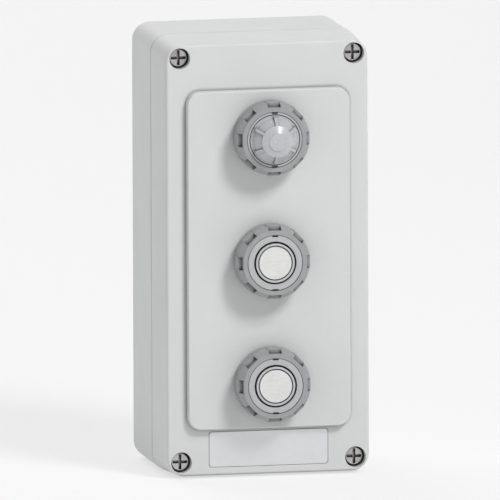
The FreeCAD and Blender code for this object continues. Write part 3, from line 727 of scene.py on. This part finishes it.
    @staticmethod
    def copy(piece: Piece) -> Piece:
        """Copy a piece with its mesh.

        Args:
            piece: The piece.

        Returns:
            The copy.
        """
        twin = piece.copy()
        twin.data = piece.data.copy()
        bpy.context.scene.collection.objects.link(twin)
        return twin

    @classmethod
    def around(cls, piece: Piece, count: int, height: float) -> list[Piece]:
        """Copy a piece evenly about a station's axis.

        Args:
            piece: The piece, which is the first of them.
            count: How many there are.
            height: Height of the axis.

        Returns:
            The pieces, each with its own mesh.
        """
        pieces = [piece, *(cls.copy(piece) for _ in range(1, count))]
        for index, twin in enumerate(pieces[1:], 1):
            cls.turn(twin, math.tau * index / count, "Y", height)
        return pieces

    @classmethod
    def apply(cls, piece: Piece, kind: str, settings: Settings) -> None:
        """Add a modifier and apply it.

        Args:
            piece: The piece.
            kind: The modifier's type.
            settings: Its properties.
        """
        cls.pick(piece)
        modifier = piece.modifiers.new(kind.lower(), kind)
        for key, setting in settings.items():
            setattr(modifier, key, setting)
        bpy.ops.object.modifier_apply(modifier=modifier.name)

    @classmethod
    def combine(cls, piece: Piece, others: Sequence[Piece], operation: str = "DIFFERENCE") -> None:
        """Cut other solids out of a piece, or add them to it, and remove them.

        Args:
            piece: The piece.
            others: The other solids.
            operation: DIFFERENCE or UNION.
        """
        for other in others:
            cls.apply(piece, "BOOLEAN", {"operation": operation, "object": other, "solver": "EXACT"})
            bpy.data.objects.remove(other)

    @classmethod
    def soften(cls, piece: Piece, width: float, segments: int = 2, angle: float = 35.0) -> None:
        """Round all sharp edges a little and shade the piece smooth.

        Args:
            piece: The piece.
            width: The rounding's width.
            segments: How many faces it has.
            angle: Edges sharper than this many degrees are rounded.
        """
        with cls.editing(piece, start="SELECT"):
            bpy.ops.mesh.remove_doubles(threshold=cls.MERGE)
            bpy.ops.mesh.dissolve_limited(angle_limit=math.radians(cls.FLAT_DEGREES))
        cls.apply(piece, "BEVEL", {
            "width": width,
            "segments": segments,
            "limit_method": "ANGLE",
            "angle_limit": math.radians(angle),
            "use_clamp_overlap": True,
            "miter_outer": "MITER_ARC",
        })
        cls.pick(piece)
        bpy.ops.object.shade_smooth_by_angle(angle=math.radians(angle))
        cls.apply(piece, "WEIGHTED_NORMAL", {"keep_sharp": True})


def runs_deep(edge: bmesh.types.BMEdge) -> bool:
    """Whether an edge runs from the wall to the front."""
    start, end = (vertex.co for vertex in edge.verts)
    return abs(start.x - end.x) < Bench.MERGE and abs(start.z - end.z) < Bench.MERGE


def lies_at(depth: float) -> EdgeTest:
    """A test for edges that lie at one depth."""
    return lambda edge: all(abs(vertex.co.y + depth) < Bench.MERGE for vertex in edge.verts)


@dataclass
class Assembly:
    """A group of pieces that is built and dressed together."""

    palette: Palette

    def place(self, piece: Piece, slot: str, node: str, body: str = "housing") -> None:
        """Dress a finished piece and fix it to its body.

        Args:
            piece: The piece.
            slot: The record's material slot.
            node: The node that it stands for.
            body: The body that it rides on.
        """
        self.palette.dress(piece, slot)
        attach(piece, body)
        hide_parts(node)
        LOG.info("%s: %d faces on %s", piece.name, len(piece.data.polygons), body)


@dataclass
class Enclosure(Assembly):
    """The moulded box: rear shell and front cover, with the screws and the label in them."""

    corner: float = 7.0 * MM
    back_draft: float = 0.25 * MM
    cover_draft: float = 1.0 * MM
    wall: float = 4.0 * MM
    face_round: float = 1.1 * MM
    back_round: float = 0.8 * MM
    edge_round: float = 0.25 * MM
    rim_round: float = 0.6 * MM
    column: Pair = (11.5 * MM, 23.5 * MM)
    cavity_corner: float = 2.5 * MM
    face_depth: float = 60.5 * MM
    cover_front_wall: float = 3.5 * MM
    panel_size: Pair = (64.8 * MM, 133.0 * MM)
    panel_corner: float = 5.2 * MM
    panel_draft: float = 0.3 * MM
    panel_round: float = 0.5 * MM
    panel_skin: float = 4.0 * MM
    panel_core_margin: float = 3.0 * MM
    screw_well: float = 4.1 * MM
    screw_hole: float = 2.3 * MM
    fixing_place: Pair = (34.0 * MM, 67.0 * MM)
    fixing_hole: float = 2.4 * MM
    fixing_well: float = 4.1 * MM
    fixing_floor: float = 5.0 * MM
    cover_core: float = 14.0 * MM
    entry_radius: float = 10.1 * MM
    entry_depth: float = 19.5 * MM
    insert_hole: float = 2.82 * MM
    insert_length: float = 8.0 * MM
    tip_room: float = 6.0 * MM
    boss_height: float = 3.0 * MM
    rail_boss: float = 5.0 * MM
    rail_screw_height: float = 24.15 * MM
    earth_boss: float = 3.6 * MM
    pilot_hole: float = 1.92 * MM
    collar_hole: float = 11.2 * MM
    label_corner: float = 1.2 * MM
    label_gap: float = 0.15 * MM
    gasket_lip: float = 1.1 * MM
    groove_width: float = 1.8 * MM
    groove_depth: float = 2.0 * MM
    label_round: float = 0.12 * MM

    def build(self) -> None:
        """Build the shells, the screws and the label."""
        self.rear_shell()
        self.cover()
        CoverScrews(self.palette).build()
        self.label()

    def cavity(self, back: float, front: float, growth: float = 0.0) -> Piece:
        """A solid of the inside of the box, which leaves out the four corner columns.

        Args:
            back: Depth of its rear end.
            front: Depth of its front end.
            growth: How far it is grown on every side.

        Returns:
            The solid.
        """
        _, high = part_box("base_housing")
        half_width = high.x - self.wall + growth
        half_height = high.z - self.wall + growth
        wide = Bench.rounded_box(
            "cavity",
            (-half_width, -front, self.column[1] - half_height),
            (half_width, -back, half_height - self.column[1]),
            self.cavity_corner,
        )
        tall = Bench.rounded_box(
            "cavity_ends",
            (self.column[0] - half_width, -front, -half_height),
            (half_width - self.column[0], -back, half_height),
            self.cavity_corner,
        )
        Bench.combine(wide, [tall], "UNION")
        return wide

    def rear_shell(self) -> None:
        """The rear shell with its corner columns, wall fixings and cable entry."""
        low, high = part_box("base_housing")
        rim = -low.y
        shell = Bench.rounded_box("rear_shell", low, high, self.corner, self.back_draft, 1)
        Bench.bevel(shell, lies_at(0.0), self.back_round, 4)
        Bench.bevel(shell, lies_at(rim), self.rim_round, 3)
        Bench.combine(shell, [self.cavity(self.wall, rim + PAST)])
        Bench.combine(shell, self.bosses(), "UNION")
        cutters = self.pilot_holes()
        tip = back_of("cover_screws") - self.tip_room
        front, seat = rim + PAST, rim - self.insert_length
        for place in corners(SCREW_PLACE):
            cutters.append(Bench.cylinder("insert_hole", self.insert_hole, seat, front, place))
            cutters.append(Bench.cylinder("tip_hole", self.screw_hole, tip, rim, place))
        for place in corners(self.fixing_place):
            cutters.append(Bench.cylinder("fixing_hole", self.fixing_hole, -PAST, front, place))
            cutters.append(Bench.cylinder("fixing_well", self.fixing_well, self.fixing_floor, front, place))
        entry = Bench.cylinder("entry", self.entry_radius, -2.0 * self.wall, 2.0 * self.wall, (0.0, 0.0))
        Bench.turn(entry, math.pi / 2, "X")
        Bench.shift(entry, (0.0, -self.entry_depth, low.z))
        Bench.combine(shell, [*cutters, entry])
        Bench.soften(shell, self.edge_round)
        self.place(shell, "housing", "base_housing")

    def boss_places(self) -> list[tuple[float, float, float, str]]:
        """List the bosses inside the rear shell.

        Returns:
            The x, z, radius and screw node of each.
        """
        low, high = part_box("earth_screw")
        rail = [(0.0, side * self.rail_screw_height, self.rail_boss, "rail_screws") for side in (-1, 1)]
        return [*rail, ((low.x + high.x) / 2, (low.z + high.z) / 2, self.earth_boss, "earth_screw")]

    def bosses(self) -> list[Piece]:
        """The bosses that carry the rail and the earth terminal."""
        back, front = self.wall - PAST, self.wall + self.boss_height
        return [
            Bench.cylinder("boss", radius, back, front, (x, z))
            for x, z, radius, _ in self.boss_places()
        ]

    def pilot_holes(self) -> list[Piece]:
        """Solids that cut the screw holes of the bosses."""
        front = self.wall + self.boss_height + PAST
        return [
            Bench.cylinder("pilot", self.pilot_hole, back_of(node), front, (x, z))
            for x, z, _, node in self.boss_places()
        ]

    def groove(self, rim: float) -> Piece:
        """The solid that cuts the seal's groove into the cover's rim.

        Args:
            rim: Depth of the cover's rim.

        Returns:
            The solid.
        """
        front = rim + self.groove_depth
        ring = self.cavity(rim - PAST, front, self.gasket_lip + self.groove_width)
        Bench.combine(ring, [self.cavity(rim - 2.0 * PAST, front + PAST, self.gasket_lip)])
        return ring

    def cover(self) -> None:
        """The front cover with its raised panel, screw wells, seal groove and label recess."""
        low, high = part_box("front_cover")
        rim, panel_front = -high.y, -low.y
        face = self.face_depth
        outside = ((low.x, -face, low.z), (high.x, -rim, high.z))
        cover = Bench.rounded_box("cover_shell", *outside, self.corner, self.cover_draft)
        Bench.bevel(cover, lies_at(face), self.face_round, 4)
        Bench.bevel(cover, lies_at(rim), self.rim_round, 3)
        half_width, half_height = self.panel_size[0] / 2, self.panel_size[1] / 2
        panel = Bench.rounded_box(
            "panel",
            (-half_width, -panel_front, -half_height),
            (half_width, PAST - face, half_height),
            self.panel_corner,
            self.panel_draft,
        )
        Bench.bevel(panel, lies_at(panel_front), self.panel_round, 3)
        Bench.combine(cover, [panel], "UNION")
        inside = face - self.cover_front_wall
        cutters = [self.cavity(rim - PAST, inside), self.groove(rim)]
        core_width = min(half_width - self.panel_core_margin, high.x - self.wall - self.column[0])
        core_height = half_height - self.panel_core_margin
        core_front = panel_front - self.panel_skin
        core = ((-core_width, -core_front, -core_height), (core_width, PAST - inside, core_height))
        cutters.append(Bench.rounded_box("core", *core, self.cavity_corner))
        back, front, seat = rim - PAST, face + PAST, back_of("screw_washers")
        for place in corners(SCREW_PLACE):
            cutters.append(Bench.cylinder("screw_hole", self.screw_hole, back, front, place))
            cutters.append(Bench.cylinder("screw_well", self.screw_well, seat, front, place))
        for place in corners(self.fixing_place):
            cutters.append(Bench.cylinder("well_core", self.fixing_well, back, rim + self.cover_core, place))
        span = (core_front - PAST, panel_front + PAST)
        for station in Station:
            cutters.append(Bench.cylinder("collar_hole", self.collar_hole, *span, (0.0, station.height)))
        cutters.append(self.label_recess(face))
        Bench.combine(cover, cutters)
        Bench.soften(cover, self.edge_round)
        self.place(cover, "housing", "front_cover")

    def label_recess(self, face: float) -> Piece:
        """The solid that cuts the label's recess.

        Args:
            face: Depth of the cover's face.

        Returns:
            The solid.
        """
        low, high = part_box("label_plate")
        return Bench.rounded_box(
            "label_recess",
            (low.x - self.label_gap, -face - PAST, low.z - self.label_gap),
            (high.x + self.label_gap, high.y, high.z + self.label_gap),
            self.label_corner,
        )

    def label(self) -> None:
        """The blank label plate in its recess."""
        low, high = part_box("label_plate")
        plate = Bench.rounded_box("blank_label", low, high, self.label_corner)
        Bench.soften(plate, self.label_round)
        self.place(plate, "label", "label_plate")


@dataclass
class CoverScrews(Assembly):
    """The cover screws, cheese heads with a cross recess, joined into one piece."""

    head: float = 3.5 * MM
    shank: float = 2.0 * MM
    tip_bevel: Pair = (0.3 * MM, 0.4 * MM)
    head_shoulder: Pair = (0.12 * MM, 0.1 * MM)
    head_bevel: Pair = (0.4 * MM, 0.35 * MM)
    steps: int = 64
    cross_arm: float = 3.25 * MM
    cross_width: float = 1.25 * MM
    cross_depth: float = 1.5 * MM
    cross_taper: Pair = (0.75, 0.7)
    edge_round: float = 0.08 * MM

    def build(self) -> None:
        """Set four screws in their wells and join them."""
        screw = self.screw()
        screws = [screw, *(Bench.copy(screw) for _ in range(3))]
        for piece, (x, z) in zip(screws, corners(SCREW_PLACE)):
            Bench.shift(piece, (x, 0.0, z))
        bpy.ops.object.select_all(action="DESELECT")
        for piece in screws:
            piece.select_set(True)
        bpy.context.view_layer.objects.active = screw
        bpy.ops.object.join()
        Bench.name(screw, "cross_screws")
        self.place(screw, "screw_steel", "cover_screws")

    def screw(self) -> Piece:
        """Turn one screw on the origin's axis and cut its cross recess.

        Returns:
            The screw.
        """
        top, seat, tip = front_of("cover_screws"), front_of("screw_washers"), back_of("cover_screws")
        profile = [
            (0.0, tip),
            (self.shank - self.tip_bevel[0], tip),
            (self.shank, tip + self.tip_bevel[1]),
            (self.shank, seat),
            (self.head, seat),
            (self.head, top - self.head_bevel[1]),
            (self.head - self.head_shoulder[0], top - self.head_shoulder[1]),
            (self.head - self.head_bevel[0], top),
            (0.0, top),
        ]
        screw = Bench.lathe("cover_screw", profile, 0.0, self.steps)
        half = self.cross_width / 2
        corner = (self.cross_arm, self.cross_depth - top, half)
        arm = Bench.box("cross_arm", (-self.cross_arm, -top - PAST, -half), corner)
        Bench.narrow(arm, 1, *self.cross_taper)
        upright = Bench.copy(arm)
        Bench.turn(upright, math.pi / 2, "Y")
        Bench.combine(screw, [arm, upright])
        Bench.soften(screw, self.edge_round)
        return screw


@dataclass
class ClampRing(Assembly):
    """A clamp ring, each spanner notch in its bevel over a flat lug."""

    station: Station = Station.TOP
    neck: float = 2.1 * MM
    neck_radius: float = 13.4 * MM
    flange_radius: float = 14.57 * MM
    flange_edge: float = 0.5 * MM
    flange_slope: float = 0.5 * MM
    body_radius: float = 14.25 * MM
    face_radius: float = 12.7 * MM
    bore: float = 10.95 * MM
    bevel: float = 2.1 * MM
    notch_count: int = 8
    notch_width: float = 5.1 * MM
    notch_wall: float = 12.6 * MM
    notch_depth: float = 2.7 * MM
    lug_radius: float = 14.3 * MM
    lug_overlap: float = 1.0 * MM
    lug_slack: float = 0.03 * MM
    edge_round: float = 0.12 * MM

    def build(self) -> None:
        """Turn the ring, add its lugs and cut its notches."""
        node = self.station.node("clamp_ring")
        back, top, height = back_of(node), front_of(node), self.station.height
        flange = back + self.neck
        edge = flange + self.flange_edge
        profile = [
            (self.bore, back),
            (self.neck_radius, back),
            (self.neck_radius, flange),
            (self.flange_radius, flange),
            (self.flange_radius, edge),
            (self.body_radius, edge + self.flange_slope),
            (self.body_radius, top - self.bevel),
            (self.face_radius, top),
            (self.bore, top),
        ]
        ring = Bench.lathe(f"ring_{self.station.value}", profile, height, 128)
        half, wall, floor = self.notch_width / 2, height + self.notch_wall, self.notch_depth - top
        low = (self.lug_slack - half, floor - self.lug_overlap, wall - self.lug_overlap)
        lug = Bench.box("lug", low, (half - self.lug_slack, -edge, height + self.lug_radius))
        Bench.combine(ring, Bench.around(lug, self.notch_count, height), "UNION")
        high = (half, floor, height + self.flange_radius + PAST)
        notch = Bench.box("notch", (-half, -top - PAST, wall), high)
        Bench.combine(ring, Bench.around(notch, self.notch_count, height))
        Bench.soften(ring, self.edge_round)
        self.place(ring, "ring", node)


@dataclass
class Collar(Assembly):
    """A threaded collar with a key notch at the top and at the bottom of its front edge."""

    station: Station = Station.TOP
    radius: float = 10.9 * MM
    edge_chamfer: float = 0.3 * MM
    flange_radius: float = 14.0 * MM
    flange: float = 2.5 * MM
    bore: float = 8.3 * MM
    bore_chamfer: float = 0.2 * MM
    guide: float = 3.58 * MM
    guide_radius: float = 7.0 * MM
    guide_length: float = 5.0 * MM
    seal_radius: float = 5.2 * MM
    seal_length: float = 2.0 * MM
    lens_seat: float = 10.0 * MM
    lens_seat_depth: float = 3.8 * MM
    lens_bore: float = 8.6 * MM
    key_count: int = 2
    key_width: float = 2.4 * MM
    key_sink: float = 0.7 * MM
    key_depth: float = 1.2 * MM
    edge_round: float = 0.1 * MM

    def build(self) -> None:
        """Turn the collar and cut its key notches."""
        node = self.station.node("collar")
        top, height = front_of(node), self.station.height
        profile = self.lamp_profile(top) if self.station is Station.TOP else self.button_profile(top)
        collar = Bench.lathe(f"threaded_collar_{self.station.value}", profile, height)
        half, lowest = self.key_width / 2, height + self.radius - self.key_sink
        high = (half, self.key_depth - top, height + self.radius + PAST)
        key = Bench.box("key", (-half, -top - PAST, lowest), high)
        Bench.combine(collar, Bench.around(key, self.key_count, height))
        Bench.soften(collar, self.edge_round)
        self.place(collar, "collar", node)

    def outside(self, rear: float, top: float) -> list[Pair]:
        """The outline's corners from the rear of the flange to the front edge."""
        return [
            (self.flange_radius, rear),
            (self.flange_radius, rear + self.flange),
            (self.radius, rear + self.flange),
            (self.radius, top - self.edge_chamfer),
            (self.radius - self.edge_chamfer, top),
        ]

    def lamp_profile(self, top: float) -> Profile:
        """The outline of the lamp's collar, open at the rear, with a seat for the lens.

        Args:
            top: Depth of its front edge.

        Returns:
            The outline's corners.
        """
        rear = back_of(self.station.node("collar"))
        seat = top - self.lens_seat_depth
        mouth = [(self.lens_seat, top), (self.lens_seat, seat), (self.lens_bore, seat)]
        return [(self.lens_bore, rear), *self.outside(rear, top), *mouth]

    def button_profile(self, top: float) -> Profile:
        """The outline of a push-button's collar, with the guide of its stem at the rear.

        Args:
            top: Depth of its front edge.

        Returns:
            The outline's corners.
        """
        back = back_of(self.station.node("collar"))
        rear = back + self.guide_length
        floor = rear + self.flange
        guide = [
            (self.guide, floor),
            (self.guide, back + self.seal_length),
            (self.seal_radius, back + self.seal_length),
            (self.seal_radius, back),
            (self.guide_radius, back),
            (self.guide_radius, rear),
        ]
        mouth = [
            (self.bore + self.bore_chamfer, top),
            (self.bore, top - self.bore_chamfer),
            (self.bore, floor),
        ]
        return [*guide, *self.outside(rear, top), *mouth]


@dataclass
class Lens(Assembly):
    """The lamp's hollow stepped lens with its grip ribs."""

    station: Station = Station.TOP
    radius: float = 9.7 * MM
    rim_height: float = 3.0 * MM
    step_radius: float = 8.3 * MM
    step_rise: float = 1.5 * MM
    boss_radius: float = 6.15 * MM
    boss_rise: float = 5.2 * MM
    top_radius: float = 3.4 * MM
    top_step: float = 0.3 * MM
    boss_step: float = 1.3 * MM
    rim_step: float = 0.8 * MM
    rim_land: float = 0.7 * MM
    skirt_radius: float = 8.3 * MM
    wall: float = 1.2 * MM
    rib_count: int = 6
    rib_width: float = 1.25 * MM
    rib_rise: float = 0.7 * MM
    rib_margin: float = 0.25 * MM
    rib_root: float = 0.6 * MM
    edge_round: float = 0.12 * MM

    def build(self) -> None:
        """Turn the lens and add its ribs."""
        node = "lamp_lens"
        base, top, height = front_of(self.station.node("clamp_ring")), front_of(node), self.station.height
        rim, boss = base - self.rim_height, base + self.boss_rise
        inner = self.skirt_radius - self.wall
        profile = [
            (0.0, top),
            (self.top_radius, top),
            (self.top_radius, top - self.top_step),
            (self.boss_radius, boss),
            (self.boss_radius, boss - self.boss_step),
            (self.step_radius, base + self.step_rise),
            (self.step_radius, base + self.step_rise - self.rim_step),
            (self.radius - self.rim_land, base),
            (self.radius, base),
            (self.radius, rim),
            (self.skirt_radius, rim),
            (self.skirt_radius, back_of(node)),
            (inner, back_of(node)),
            (inner, base),
            (self.boss_radius - self.wall, boss - self.wall),
            (self.top_radius - self.wall, top - self.wall),
            (0.0, top - self.wall),
        ]
        lens = Bench.lathe("ribbed_lens", profile, height)
        Bench.combine(lens, Bench.around(self.rib(base), self.rib_count, height), "UNION")
        Bench.soften(lens, self.edge_round)
        self.place(lens, "lens", node)

    def rib(self, base: float) -> Piece:
        """The uppermost rib, a bar whose outer end slopes down to the rim.

        Args:
            base: Depth of the lens's widest edge.

        Returns:
            The rib.
        """
        height = self.station.height
        start = height + self.boss_radius - self.wall / 2
        end = height + self.radius - self.rib_margin
        boss = base + self.boss_rise
        half = self.rib_width / 2
        rib = Bench.box("rib", (-half, -boss, start), (half, self.rib_root - base, end))
        shoulder_drop = boss - (base + self.step_rise + self.rib_rise)
        shoulder_shift = self.step_radius + self.rib_rise - self.radius + self.rib_margin
        with Bench.editing(rib, "VERT") as mesh:
            for vertex in mesh.verts:
                vertex.select_set(vertex.co.y < -boss + Bench.MERGE and vertex.co.z > end - Bench.MERGE)
            mesh.select_flush_mode()
            bmesh.update_edit_mesh(rib.data)
            bpy.ops.transform.translate(value=(0.0, shoulder_drop, shoulder_shift))
        return rib


@dataclass
class ButtonHead(Assembly):
    """The moving head of a push-button with the blank disc in its face and its stem."""

    station: Station = Station.MIDDLE
    head_top: float = 3.0 * MM
    skirt: float = 1.0 * MM
    spigot_hole: float = 2.02 * MM
    groove: float = 0.4 * MM
    head_round: float = 0.25 * MM
    disc_round: float = 0.15 * MM
    dish_rim: float = 0.8 * MM
    dish_depth: float = 0.22 * MM
    dish_steps: int = 8
    spigot: float = 2.0 * MM
    stem_play: float = 0.02 * MM
    stem_round: float = 0.2 * MM

    def build(self) -> None:
        """Turn the head, its disc and the stem."""
        self.head()
        self.disc()
        self.stem()

    def reach(self, node: str) -> float:
        """Radius of a round node, seen from the front."""
        low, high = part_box(node)
        return (high.x - low.x) / 2

    def head(self) -> None:
        """The cup that the finger presses."""
        node, disc = self.station.node("button_head"), self.station.node("button_disc")
        top, rear, radius = front_of(node), back_of(node), self.reach(node)
        underside, seat, recess = top - self.head_top, back_of(disc), self.reach(disc) + self.groove
        profile = [
            (self.spigot_hole, underside),
            (radius - self.skirt, underside),
            (radius - self.skirt, rear),
            (radius, rear),
            (radius, top),
            (recess, top),
            (recess, seat),
            (self.spigot_hole, seat),
        ]
        head = Bench.lathe(f"push_head_{self.station.value}", profile, self.station.height)
        Bench.soften(head, self.head_round, 3)
        self.place(head, "head", node, self.station.body)

    def disc(self) -> None:
        """The blank disc, very slightly dished."""
        node = self.station.node("button_disc")
        top, seat, radius = front_of(node), back_of(node), self.reach(node)
        profile = [(0.0, seat), (radius, seat), (radius, top)]
        dish = radius - self.dish_rim
        for step in range(self.dish_steps + 1):
            share = 1.0 - step / self.dish_steps
            profile.append((dish * share, top - self.dish_depth * (1.0 - share * share)))
        disc = Bench.lathe(f"blank_disc_{self.station.value}", profile, self.station.height)
        Bench.soften(disc, self.disc_round, 3)
        self.place(disc, "disc", node, self.station.body)

    def stem(self) -> None:
        """The rod that passes a push to the contact block."""
        node = self.station.node("button_stem")
        front, rear, radius = front_of(node), back_of(node) + self.stem_play, self.reach(node)
        shoulder = front_of(self.station.node("button_head")) - self.head_top
        rod = [(0.0, rear), (radius, rear), (radius, shoulder)]
        profile = [*rod, (self.spigot, shoulder), (self.spigot, front), (0.0, front)]
        stem = Bench.lathe(f"push_stem_{self.station.value}", profile, self.station.height)
        Bench.soften(stem, self.stem_round, 3)
        self.place(stem, "stem", node, self.station.body)


@dataclass
class Spring(Assembly):
    """A coil spring of a push-button, wound between its two seats."""

    station: Station = Station.MIDDLE
    coil: Coil = Coil.RETURN
    wire_sides: int = 12
    turn_steps: int = 36
    smooth_degrees: float = 50.0

    def build(self) -> None:
        """Wind the spring between its two seats."""
        coil, height = self.coil, self.station.height
        node = self.station.node(coil.piece)
        low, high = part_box(node)
        bpy.ops.object.select_all(action="DESELECT")
        start = ((high.x - low.x) / 2 - coil.wire, low.y + coil.wire, 0.0)
        bpy.ops.mesh.primitive_circle_add(vertices=self.wire_sides, radius=coil.wire, location=start)
        spring = Bench.name(bpy.context.active_object, f"coil_{node}")
        Bench.settle(spring)
        Bench.apply(spring, "SCREW", {
            "axis": "Y",
            "iterations": coil.turns,
            "screw_offset": (high.y - low.y - 2.0 * coil.wire) / coil.turns,
            "steps": self.turn_steps,
            "render_steps": self.turn_steps,
            "use_smooth_shade": True,
        })
        Bench.shift(spring, (0.0, 0.0, height))
        with Bench.editing(spring, start="SELECT"):
            bpy.ops.mesh.fill_holes(sides=self.wire_sides)
            bpy.ops.mesh.select_all(action="SELECT")
            bpy.ops.mesh.normals_make_consistent(inside=False)
        Bench.pick(spring)
        bpy.ops.object.shade_smooth_by_angle(angle=math.radians(self.smooth_degrees))
        self.place(spring, "spring_steel", node)
        self.shorten(spring, low.y, height)

    def shorten(self, spring: Piece, end: float, height: float) -> None:
        """Work out what share of its length the spring keeps when its joint travels, and give the spring its
        own mesh.

        Args:
            spring: The finished spring.
            end: Where its moving end lies along Y.
            height: Height of its axis; not used.
        """
        joint = f"{self.station.value}_{self.coil.joint}"
        row = next(row for row in frame["record"]["behaviour"]["joints"] if row["name"] == joint)
        seat, travel = row["deforming_nodes"][0]["fixed_end_y_m"], row["range_m"][1]
        keep = (seat - end - travel) / (seat - end)
        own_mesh(spring)


@dataclass
class InnerWorks(Assembly):
    """Finishes for the nodes that keep their own shape."""

    def build(self) -> None:
        """Dress every node by its material slot."""
        for row in frame["record"]["subparts"]:
            piece = frame["nodes"][row["node"]]
            self.palette.dress(piece, row["material_slot"])
            LOG.info("%s: dressed as %s", piece.name, row["material_slot"])


@dataclass(frozen=True)
class Lamp:
    """A square area lamp, in metres and watts, that points at the object."""

    name: str
    place: tuple[float, float, float]
    size: float
    power: float

    def build(self) -> None:
        """Hang the lamp."""
        data = bpy.data.lights.new(self.name, "AREA")
        data.size = self.size
        data.energy = self.power
        lamp = bpy.data.objects.new(self.name, data)
        lamp.location = self.place
        lamp.rotation_euler = (-Vector(self.place)).to_track_quat("-Z", "Y").to_euler()
        bpy.context.scene.collection.objects.link(lamp)


@dataclass
class Studio:
    """Pale floor and backdrop, soft lamps and the camera."""

    picture_width: float = 500.0
    pixels_per_metre: float = 2578.0
    azimuth: float = -12.0
    elevation: float = 8.4
    roll: float = 0.24
    aim_pixel: Pair = (267.7, 257.9)
    distance: float = 1.2
    sight: float = 20.0
    floor_reach: float = 3.0
    backdrop: float = 1.4
    sweep: float = 0.5
    sweep_steps: int = 24
    glow: float = 0.65
    world_light: float = 0.3

    def build(self) -> None:
        """Build the set, the lamps and the camera."""
        self.floor()
        self.lamps()
        self.camera()

    def floor(self) -> None:
        """A floor that sweeps up into a backdrop behind the object."""
        low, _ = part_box("base_housing")
        bpy.ops.object.select_all(action="DESELECT")
        bpy.ops.mesh.primitive_plane_add(size=2.0 * self.floor_reach, location=(0.0, 0.0, low.z))
        floor = Bench.name(bpy.context.active_object, "floor")
        Bench.settle(floor)
        with Bench.editing(floor, "EDGE") as mesh:
            for edge in mesh.edges:
                edge.select_set(lies_at(-self.floor_reach)(edge))
            bmesh.update_edit_mesh(floor.data)
            bpy.ops.transform.translate(value=(0.0, self.backdrop - self.floor_reach, 0.0))
            rise = (0.0, 0.0, self.floor_reach)
            bpy.ops.mesh.extrude_region_move(TRANSFORM_OT_translate={"value": rise})

        def folds(edge: bmesh.types.BMEdge) -> bool:
            """Whether the floor meets the backdrop at an edge."""
            return lies_at(-self.backdrop)(edge) and all(end.co.z < 0.0 for end in edge.verts)

        Bench.bevel(floor, folds, self.sweep, self.sweep_steps)
        Bench.pick(floor)
        bpy.ops.object.shade_smooth()
        floor.data.materials.append(self.floor_paint())

    def floor_paint(self) -> bpy.types.Material:
        """White paint that the camera sees a little brighter than it is lit.

        Returns:
            The material.
        """
        shader = Shader("floor_paint")
        cloud = shader.noise(0.6, 2.0).between(0.3, 0.7)
        colour = shader.mix(cloud, (0.9, 0.9, 0.9), (0.92, 0.92, 0.92))
        paint = shader.node("ShaderNodeBsdfDiffuse", {}, {"Color": colour})
        glow = shader.node("ShaderNodeEmission", {}, {"Color": (1.0, 1.0, 1.0, 1.0), "Strength": 1.0})
        rays = shader.node("ShaderNodeLightPath", {}, {}).outputs
        seen = Value(shader, rays["Is Camera Ray"])
        for ray in ("Is Glossy Ray", "Is Transmission Ray"):
            seen = seen.math("MAXIMUM", Value(shader, rays[ray]))
        inputs = {0: seen * self.glow, 1: paint.outputs[0], 2: glow.outputs[0]}
        both = shader.node("ShaderNodeMixShader", {}, inputs)
        shader.node("ShaderNodeOutputMaterial", {}, {"Surface": both.outputs[0]})
        return shader.material

    def lamps(self) -> None:
        """A key from the upper right, a weaker fill from the left and a pale world."""
        Lamp("key", place=(0.6, -1.15, 1.15), size=0.45, power=16.5).build()
        Lamp("fill", place=(-1.3, -0.9, 0.5), size=1.2, power=2.5).build()
        Lamp("rim", place=(-0.3, 0.9, 1.2), size=0.8, power=6.0).build()
        world = bpy.data.worlds.new("studio")
        world.use_nodes = True
        background = world.node_tree.nodes["Background"]
        background.inputs["Color"].default_value = (1.0, 1.0, 1.0, 1.0)
        background.inputs["Strength"].default_value = self.world_light
        bpy.context.scene.world = world

    def camera(self) -> None:
        """The camera, parallel as in the picture, with the cover's face at its pixel."""
        azimuth, elevation = math.radians(self.azimuth), math.radians(self.elevation)
        back = Vector((
            math.sin(azimuth) * math.cos(elevation),
            -math.cos(azimuth) * math.cos(elevation),
            math.sin(elevation),
        ))
        turn = (-back).to_track_quat("-Z", "Y") @ Quaternion((0.0, 0.0, 1.0), -math.radians(self.roll))
        data = bpy.data.cameras.new("camera")
        data.type = "ORTHO"
        data.ortho_scale = self.picture_width / self.pixels_per_metre
        camera = bpy.data.objects.new("camera", data)
        camera.rotation_mode = "QUATERNION"
        camera.rotation_quaternion = turn
        right = turn @ Vector((1.0, 0.0, 0.0))
        up = turn @ Vector((0.0, 1.0, 0.0))
        middle = self.picture_width / 2
        offset_right = (self.aim_pixel[0] - middle) / self.pixels_per_metre
        offset_up = (middle - self.aim_pixel[1]) / self.pixels_per_metre
        face = Vector((0.0, -Enclosure.face_depth, 0.0))
        camera.location = face - right * offset_right - up * offset_up + back * self.distance
        data.clip_end = self.sight
        bpy.context.scene.collection.objects.link(camera)
        bpy.context.scene.camera = camera


def main() -> None:
    """Build the looks of the control station round its frame."""
    logging.basicConfig(level=logging.INFO, format="%(name)s: %(message)s")
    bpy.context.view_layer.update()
    bpy.context.scene.view_settings.view_transform = "Standard"
    palette = Palette()
    InnerWorks(palette).build()
    Enclosure(palette).build()
    for station in Station:
        ClampRing(palette, station=station).build()
        Collar(palette, station=station).build()
    Lens(palette).build()
    for station in (Station.MIDDLE, Station.BOTTOM):
        ButtonHead(palette, station=station).build()
        for coil in Coil:
            Spring(palette, station=station, coil=coil).build()
    Studio().build()


if __name__ == "__main__":
    main()
